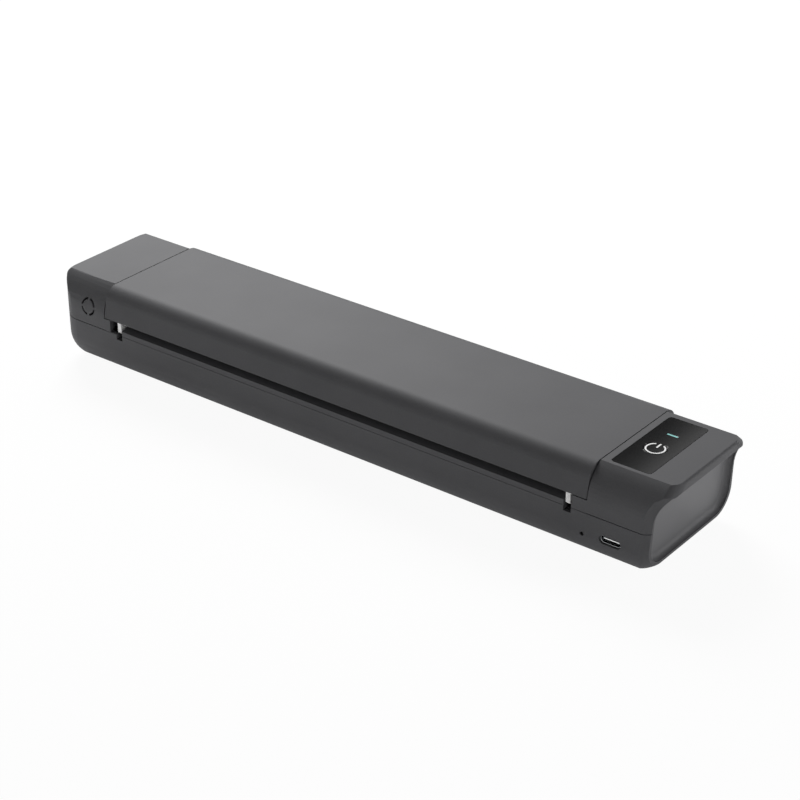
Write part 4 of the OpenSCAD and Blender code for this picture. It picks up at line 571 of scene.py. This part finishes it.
class PRINTER_OT_stage(Operator):
    """Adds the floor, the camera, the lamps and the even light"""
    bl_idname = "printer.stage"
    bl_label = "Stage"

    def execute(self, context):
        scene = context.scene
        stage = scene.printer_stage
        scene.view_settings.view_transform = "Standard"

        camera_data = bpy.data.cameras.new("camera")
        camera_data.lens = stage.lens
        camera_data.sensor_width = 36
        camera_data.clip_start = 0.05
        camera_data.clip_end = 50
        camera = bpy.data.objects.new("camera", camera_data)
        scene.collection.objects.link(camera)
        turn = Matrix((CAMERA_RIGHT, CAMERA_UP, CAMERA_BACK)).transposed().to_4x4()
        camera.matrix_world = Matrix.Translation(CAMERA_AT) @ turn
        scene.camera = camera

        mesh = bpy.data.meshes.new("floor")
        corners = [(x * FLOOR_REACH, y * FLOOR_REACH, 0) for x, y in ((-1, -1), (1, -1), (1, 1), (-1, 1))]
        mesh.from_pydata(corners, [], [(0, 1, 2, 3)])
        floor = bpy.data.objects.new("floor", mesh)
        floor.location.z = -FLOOR_DROP
        scene.collection.objects.link(floor)
        floor.data.materials.append(
            self.floor_finish(scene.printer_colours.floor, stage.bounce, stage.glow))

        self.lamp(scene, "top_light", stage.key_power, 0.5, (-0.62, 0.50, 0.70), (-0.05, 0, 0.02))
        self.lamp(scene, "end_light", stage.side_power, 0.4, (0.90, 0.55, 0.35), (0.14, 0, 0.02))
        self.lamp(scene, "panel_card", stage.card_power, 0.4, (-0.100, 0.77, 0.54), (-0.100, 0.77, 0))
        scene.world = self.room(stage.ambient)
        return {"FINISHED"}

    @staticmethod
    def room(ambient):
        """Even light all round, white for the camera, and white in front for what mirrors it"""
        world = bpy.data.worlds.new("studio")
        world.use_nodes = True
        tree = world.node_tree
        tree.nodes.clear()
        path = add_node(tree, "ShaderNodeLightPath")
        seen = add_node(tree, "ShaderNodeMath", {0: path.outputs["Is Camera Ray"],
                                                 1: path.outputs["Is Transmission Ray"]}, operation="MAXIMUM")
        strength = add_node(tree, "ShaderNodeMapRange", {"Value": seen.outputs["Value"]})
        strength.inputs["To Min"].default_value = ambient
        strength.inputs["To Max"].default_value = 1.0
        place = add_node(tree, "ShaderNodeTexCoord")
        way = add_node(tree, "ShaderNodeSeparateXYZ", {0: place.outputs["Generated"]})
        wall = add_node(tree, "ShaderNodeMapRange", {"Value": way.outputs["Y"]})
        wall.inputs["From Min"].default_value, wall.inputs["From Max"].default_value = ROOM_FADE
        wall.inputs["To Min"].default_value = 1.0
        wall.inputs["To Max"].default_value = ROOM_BACK
        level = add_node(tree, "ShaderNodeMix", data_type="FLOAT")
        tree.links.new(path.outputs["Is Glossy Ray"], level.inputs[0])
        tree.links.new(strength.outputs["Result"], level.inputs[2])
        tree.links.new(wall.outputs["Result"], level.inputs[3])
        light = add_node(tree, "ShaderNodeBackground", {"Strength": level.outputs[0]})
        light.inputs["Color"].default_value = (1, 1, 1, 1)
        add_node(tree, "ShaderNodeOutputWorld", {"Surface": light.outputs["Background"]})
        return world

    @staticmethod
    def floor_finish(tone, bounce, table_glow):
        """Near white for the camera, with the shadow kept, and duller for the object"""
        made = bpy.data.materials.new("floor_paper")
        made.use_nodes = True
        tree = made.node_tree
        tree.nodes.clear()
        path = add_node(tree, "ShaderNodeLightPath")
        plain = add_node(tree, "ShaderNodeBsdfDiffuse")
        plain.inputs["Color"].default_value = (*tone, 1)
        dull = add_node(tree, "ShaderNodeBsdfDiffuse")
        dull.inputs["Color"].default_value = (bounce, bounce, bounce, 1)
        table = add_node(tree, "ShaderNodeEmission", Strength=table_glow)
        lit = add_node(tree, "ShaderNodeAddShader", {0: dull.outputs["BSDF"], 1: table.outputs["Emission"]})
        glow = add_node(tree, "ShaderNodeEmission", Strength=1.0)
        shown = add_node(tree, "ShaderNodeMixShader", {1: plain.outputs["BSDF"], 2: glow.outputs["Emission"]})
        shown.inputs[0].default_value = FLOOR_WHITE
        both = add_node(tree, "ShaderNodeMixShader", {
            0: path.outputs["Is Camera Ray"], 1: lit.outputs["Shader"], 2: shown.outputs["Shader"]})
        add_node(tree, "ShaderNodeOutputMaterial", {"Surface": both.outputs["Shader"]})
        return made

    @staticmethod
    def lamp(scene, name, power, width, at, to):
        """A square soft light"""
        data = bpy.data.lights.new(name, "AREA")
        data.shape = "SQUARE"
        data.size = width
        data.energy = power
        obj = bpy.data.objects.new(name, data)
        scene.collection.objects.link(obj)
        obj.matrix_world = aimed(at, to)


# Pieces


class PRINTER_OT_casing(Operator):
    """Softens the edges of the top case and the bottom case"""
    bl_idname = "printer.casing"
    bl_label = "Casing"

    def execute(self, context):
        for node in ("top_case", "bottom_case"):
            soft_node(node, context.scene.printer_sizes.edge)
        return {"FINISHED"}


class PRINTER_OT_end_panel(Operator):
    """Makes the end panel: a flat face with a hollow curve up the recess wall"""
    bl_idname = "printer.end_panel"
    bl_label = "End panel"

    lean = math.radians(2.9)  # of the end, from upright
    rim = Vector((144.8, 0, 39.3)) * MM  # middle of the rim's top edge
    wide, high, low = 27.3 * MM, -3.84 * MM, -33.94 * MM  # half width, top and bottom of the recess
    top_r, low_r = 8 * MM, 8.4 * MM  # its corner radii
    face, thick, fit = -2.6 * MM, 1.6 * MM, 0.1 * MM  # the panel's depth in it, thickness and gap
    corner_steps, hollow_steps = 12, 10

    def ring(self, inset, out):
        """Outline of the recess, drawn in by an inset, at a height out of the rim's plane."""
        points = []
        for side, top, start in ((1, False, -90), (1, True, 0), (-1, True, 90), (-1, False, 180)):
            radius = self.top_r if top else self.low_r
            middle = side * (self.wide - radius), self.high - radius if top else self.low + radius
            for k in range(self.corner_steps + 1):
                angle = math.radians(start + 90 * k / self.corner_steps)
                across = middle[0] + (radius - inset) * math.cos(angle)
                up = middle[1] + (radius - inset) * math.sin(angle)
                points.append(self.rim + Vector((up * math.sin(self.lean) + out * math.cos(self.lean), across,
                                                 up * math.cos(self.lean) - out * math.sin(self.lean))))
        return points

    def execute(self, context):
        hollow = context.scene.printer_sizes.hollow
        rings = [self.ring(self.fit, self.face - self.thick)]
        for k in range(self.hollow_steps + 1):
            angle = math.pi / 2 * k / self.hollow_steps
            rings.append(self.ring(self.fit + hollow * (1 - math.cos(angle)),
                                   self.face + hollow * (1 - math.sin(angle))))
        piece = new_piece("end_panel_dish", lofted("end_panel_dish", rings), body_named("end_panel"),
                          "end_plastic", "end_panel")
        soften(piece, 0)
        return {"FINISHED"}


class PRINTER_OT_cover(Operator):
    """Softens the hinged cover and dresses what it carries"""
    bl_idname = "printer.cover"
    bl_label = "Cover"

    def execute(self, context):
        soft_node("cover_shell", context.scene.printer_sizes.edge)
        soft_node("bearing_collars", 0.15 * MM)
        dress_nodes("cover_guide", "roller_brackets", "hinge_pins")
        return {"FINISHED"}


class PRINTER_OT_key_panel(Operator):
    """Dresses the gloss panel with its key, symbol and light"""
    bl_idname = "printer.key_panel"
    bl_label = "Key panel"

    def execute(self, context):
        soft_node("gloss_panel", 0.12 * MM)
        soft_node("power_key", 0.1 * MM)
        dress_nodes("power_symbol", "key_plunger", "key_switch", "light_bar", "status_light", "key_board")
        return {"FINISHED"}


class PRINTER_OT_platen(Operator):
    """Dresses the platen and its drive"""
    bl_idname = "printer.platen"
    bl_label = "Platen and drive"

    def execute(self, context):
        dress_nodes("platen_roller", "platen_shaft", "platen_gear", "idler_gear", "idler_post",
                    "motor_pinion", "motor_shaft", "stepper_motor", "gear_plate")
        return {"FINISHED"}


class PRINTER_OT_print_head(Operator):
    """Dresses the print head with its springs and cable"""
    bl_idname = "printer.print_head"
    bl_label = "Print head"

    full_tilt = math.radians(2.5)
    lever_start = 0.5 * MM  # behind the rod's front side, short of its middle by 0.75 mm

    def execute(self, context):
        dress_nodes("head_bar", "head_ceramic", "head_driver_strip", "head_connector", "head_pivot_rod",
                    "head_cable", "paper_sensor")
        wire = context.scene.printer_sizes.wire
        seats = box_parts("head_springs")
        feet = [((low.x + high.x) / 2, (low.y + high.y) / 2, low.z + wire) for low, high in seats]
        low, high = seats[0]
        mesh = grow("head_spring_coils", coil_tree("bright_steel"), feet, Wire_radius=wire,
                    Coil_radius=(high.y - low.y) / 2 - wire, Height=high.z - low.z - 2 * wire)
        piece = new_piece("head_spring_coils", mesh, body_named("head_springs"), "bright_steel",
                          "head_springs")
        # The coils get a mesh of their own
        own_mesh(piece)
        return {"FINISHED"}


class PRINTER_OT_power(Operator):
    """Dresses the battery and the leads"""
    bl_idname = "printer.power"
    bl_label = "Battery and leads"

    # Points that the leads pass, in millimetres
    battery_route = ((38, 16, 11.9), (40.2, 16, 11.9), (43.8, 13.8, 13), (54.6, 9.1, 14.1), (59, 8, 12.3),
                     (61.2, 8, 12.3))
    motor_route = ((-142.3, -5.194, 14.769), (-142.3, -2.994, 14.769), (-141.2, 4.1, 12.569),
                   (-136.8, 5.2, 8.1), (-129.1, 5.2, 4.8), (-95, 5.2, 4.8), (-30, 5.2, 4.8), (35, 5.2, 4.8),
                   (48, 5.2, 7), (56.8, 1, 12.3), (59, 1, 12.3), (61.2, 1, 12.3))
    lead_r = 1.1 * MM

    def execute(self, context):
        dress_nodes("battery_cells")
        soft_node("battery_sleeve", 0)
        for node, route, slot_name, wires, radius in (
                ("battery_lead", self.battery_route, "lead_red", 3, 0.505 * MM),
                ("motor_lead", self.motor_route, "lead_black", 4, 0.45 * MM)):
            points = [[value * MM for value in point] for point in route]
            steps = [(i, i + 1) for i in range(len(points) - 1)]
            mesh = grow(node + "_wires", lead_tree(slot_name), points, steps, Wires=wires,
                        Wire_radius=radius, Bundle_radius=self.lead_r - radius)
            new_piece(node + "_wires", mesh, body_named(node), slot_name, node)
        return {"FINISHED"}


class PRINTER_OT_boards(Operator):
    """Dresses the main board with its parts, the port, the reset key and the buzzer"""
    bl_idname = "printer.boards"
    bl_label = "Boards"

    pin_share = 0.8  # share of a chip's side that its pins take up
    tongue_out = 0.8 * MM  # how far the tongue's nose stands out past the plain solid
    nose_steps = 12

    def execute(self, context):
        dress_nodes("main_board", "board_chips", "board_capacitors", "board_sockets", "wireless_module",
                    "reset_switch", "reset_plunger", "buzzer")
        pins = pin_tree("bright_steel")
        for i, (low, high) in enumerate(box_parts("board_chips"), 1):
            side = high.x - low.x
            count = int(self.pin_share * side / PIN_PITCH)
            mesh = grow("chip_pins_%d" % i, pins, [((low.x + high.x) / 2, (low.y + high.y) / 2, low.z)],
                        Side=side, Pins=count)
            new_piece("chip_pins_%d" % i, mesh, body_named("board_chips"), "bright_steel")
        soft_node("charging_port", 0.08 * MM)
        self.tongue()
        return {"FINISHED"}

    def tongue(self):
        """The port's tongue: a steel plate with a round nose."""
        low, high = (Vector(corner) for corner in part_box("charging_tongue"))
        low.y -= self.tongue_out
        middle = (low[2] + high[2]) / 2
        radius = (high[2] - low[2]) / 2
        profile = [(high[1], middle - radius), (high[1], middle + radius)]
        for k in range(self.nose_steps + 1):
            angle = math.pi / 2 + math.pi * k / self.nose_steps
            profile.append((low[1] + radius + radius * math.cos(angle), middle + radius * math.sin(angle)))
        rings = [[Vector((x, y, z)) for y, z in profile] for x in (low[0], high[0])]
        piece = new_piece("charging_tongue_plate", lofted("charging_tongue_plate", rings),
                          body_named("charging_tongue"), "bright_steel", "charging_tongue")
        piece.data.materials[0] = FINISHES["tongue_steel"]
        soften(piece, 0.05 * MM)


class PRINTER_OT_fasteners(Operator):
    """Dresses the screws and the rubber feet"""
    bl_idname = "printer.fasteners"
    bl_label = "Screws and feet"

    def execute(self, context):
        dress_nodes("cover_screws", "motor_screws", "key_board_screws", "board_screws", "case_screws",
                    "rubber_feet")
        return {"FINISHED"}


class PRINTER_PT_pieces(Panel):
    """Lists the pieces and their settings"""
    bl_idname = "PRINTER_PT_pieces"
    bl_label = "Printer"
    bl_space_type = "VIEW_3D"
    bl_region_type = "UI"
    bl_category = "Printer"

    def draw(self, context):
        scene = context.scene
        for group in (scene.printer_sizes, scene.printer_colours, scene.printer_stage):
            box = self.layout.box()
            for key in group.bl_rna.properties.keys():
                if key not in ("rna_type", "name"):
                    box.prop(group, key)
        for step in STEPS:
            self.layout.operator(step.bl_idname)


GROUPS = {"printer_colours": PRINTER_PG_colours, "printer_sizes": PRINTER_PG_sizes,
          "printer_stage": PRINTER_PG_stage}
STEPS = (PRINTER_OT_stage, PRINTER_OT_casing, PRINTER_OT_end_panel, PRINTER_OT_cover, PRINTER_OT_key_panel,
         PRINTER_OT_platen, PRINTER_OT_print_head, PRINTER_OT_power, PRINTER_OT_boards, PRINTER_OT_fasteners)


def register():
    for item in (*GROUPS.values(), *STEPS, PRINTER_PT_pieces):
        bpy.utils.register_class(item)
    for key, group in GROUPS.items():
        setattr(bpy.types.Scene, key, PointerProperty(type=group))


def unregister():
    for key in GROUPS:
        delattr(bpy.types.Scene, key)
    for item in reversed((*GROUPS.values(), *STEPS, PRINTER_PT_pieces)):
        bpy.utils.unregister_class(item)


def main():
    register()
    FINISHES.update(make_finishes())
    bpy.ops.printer.stage()
    bpy.ops.printer.casing()
    bpy.ops.printer.end_panel()
    bpy.ops.printer.cover()
    bpy.ops.printer.key_panel()
    bpy.ops.printer.platen()
    bpy.ops.printer.print_head()
    bpy.ops.printer.power()
    bpy.ops.printer.boards()
    bpy.ops.printer.fasteners()
    bpy.context.view_layer.update()


if __name__ == "__main__":
    main()
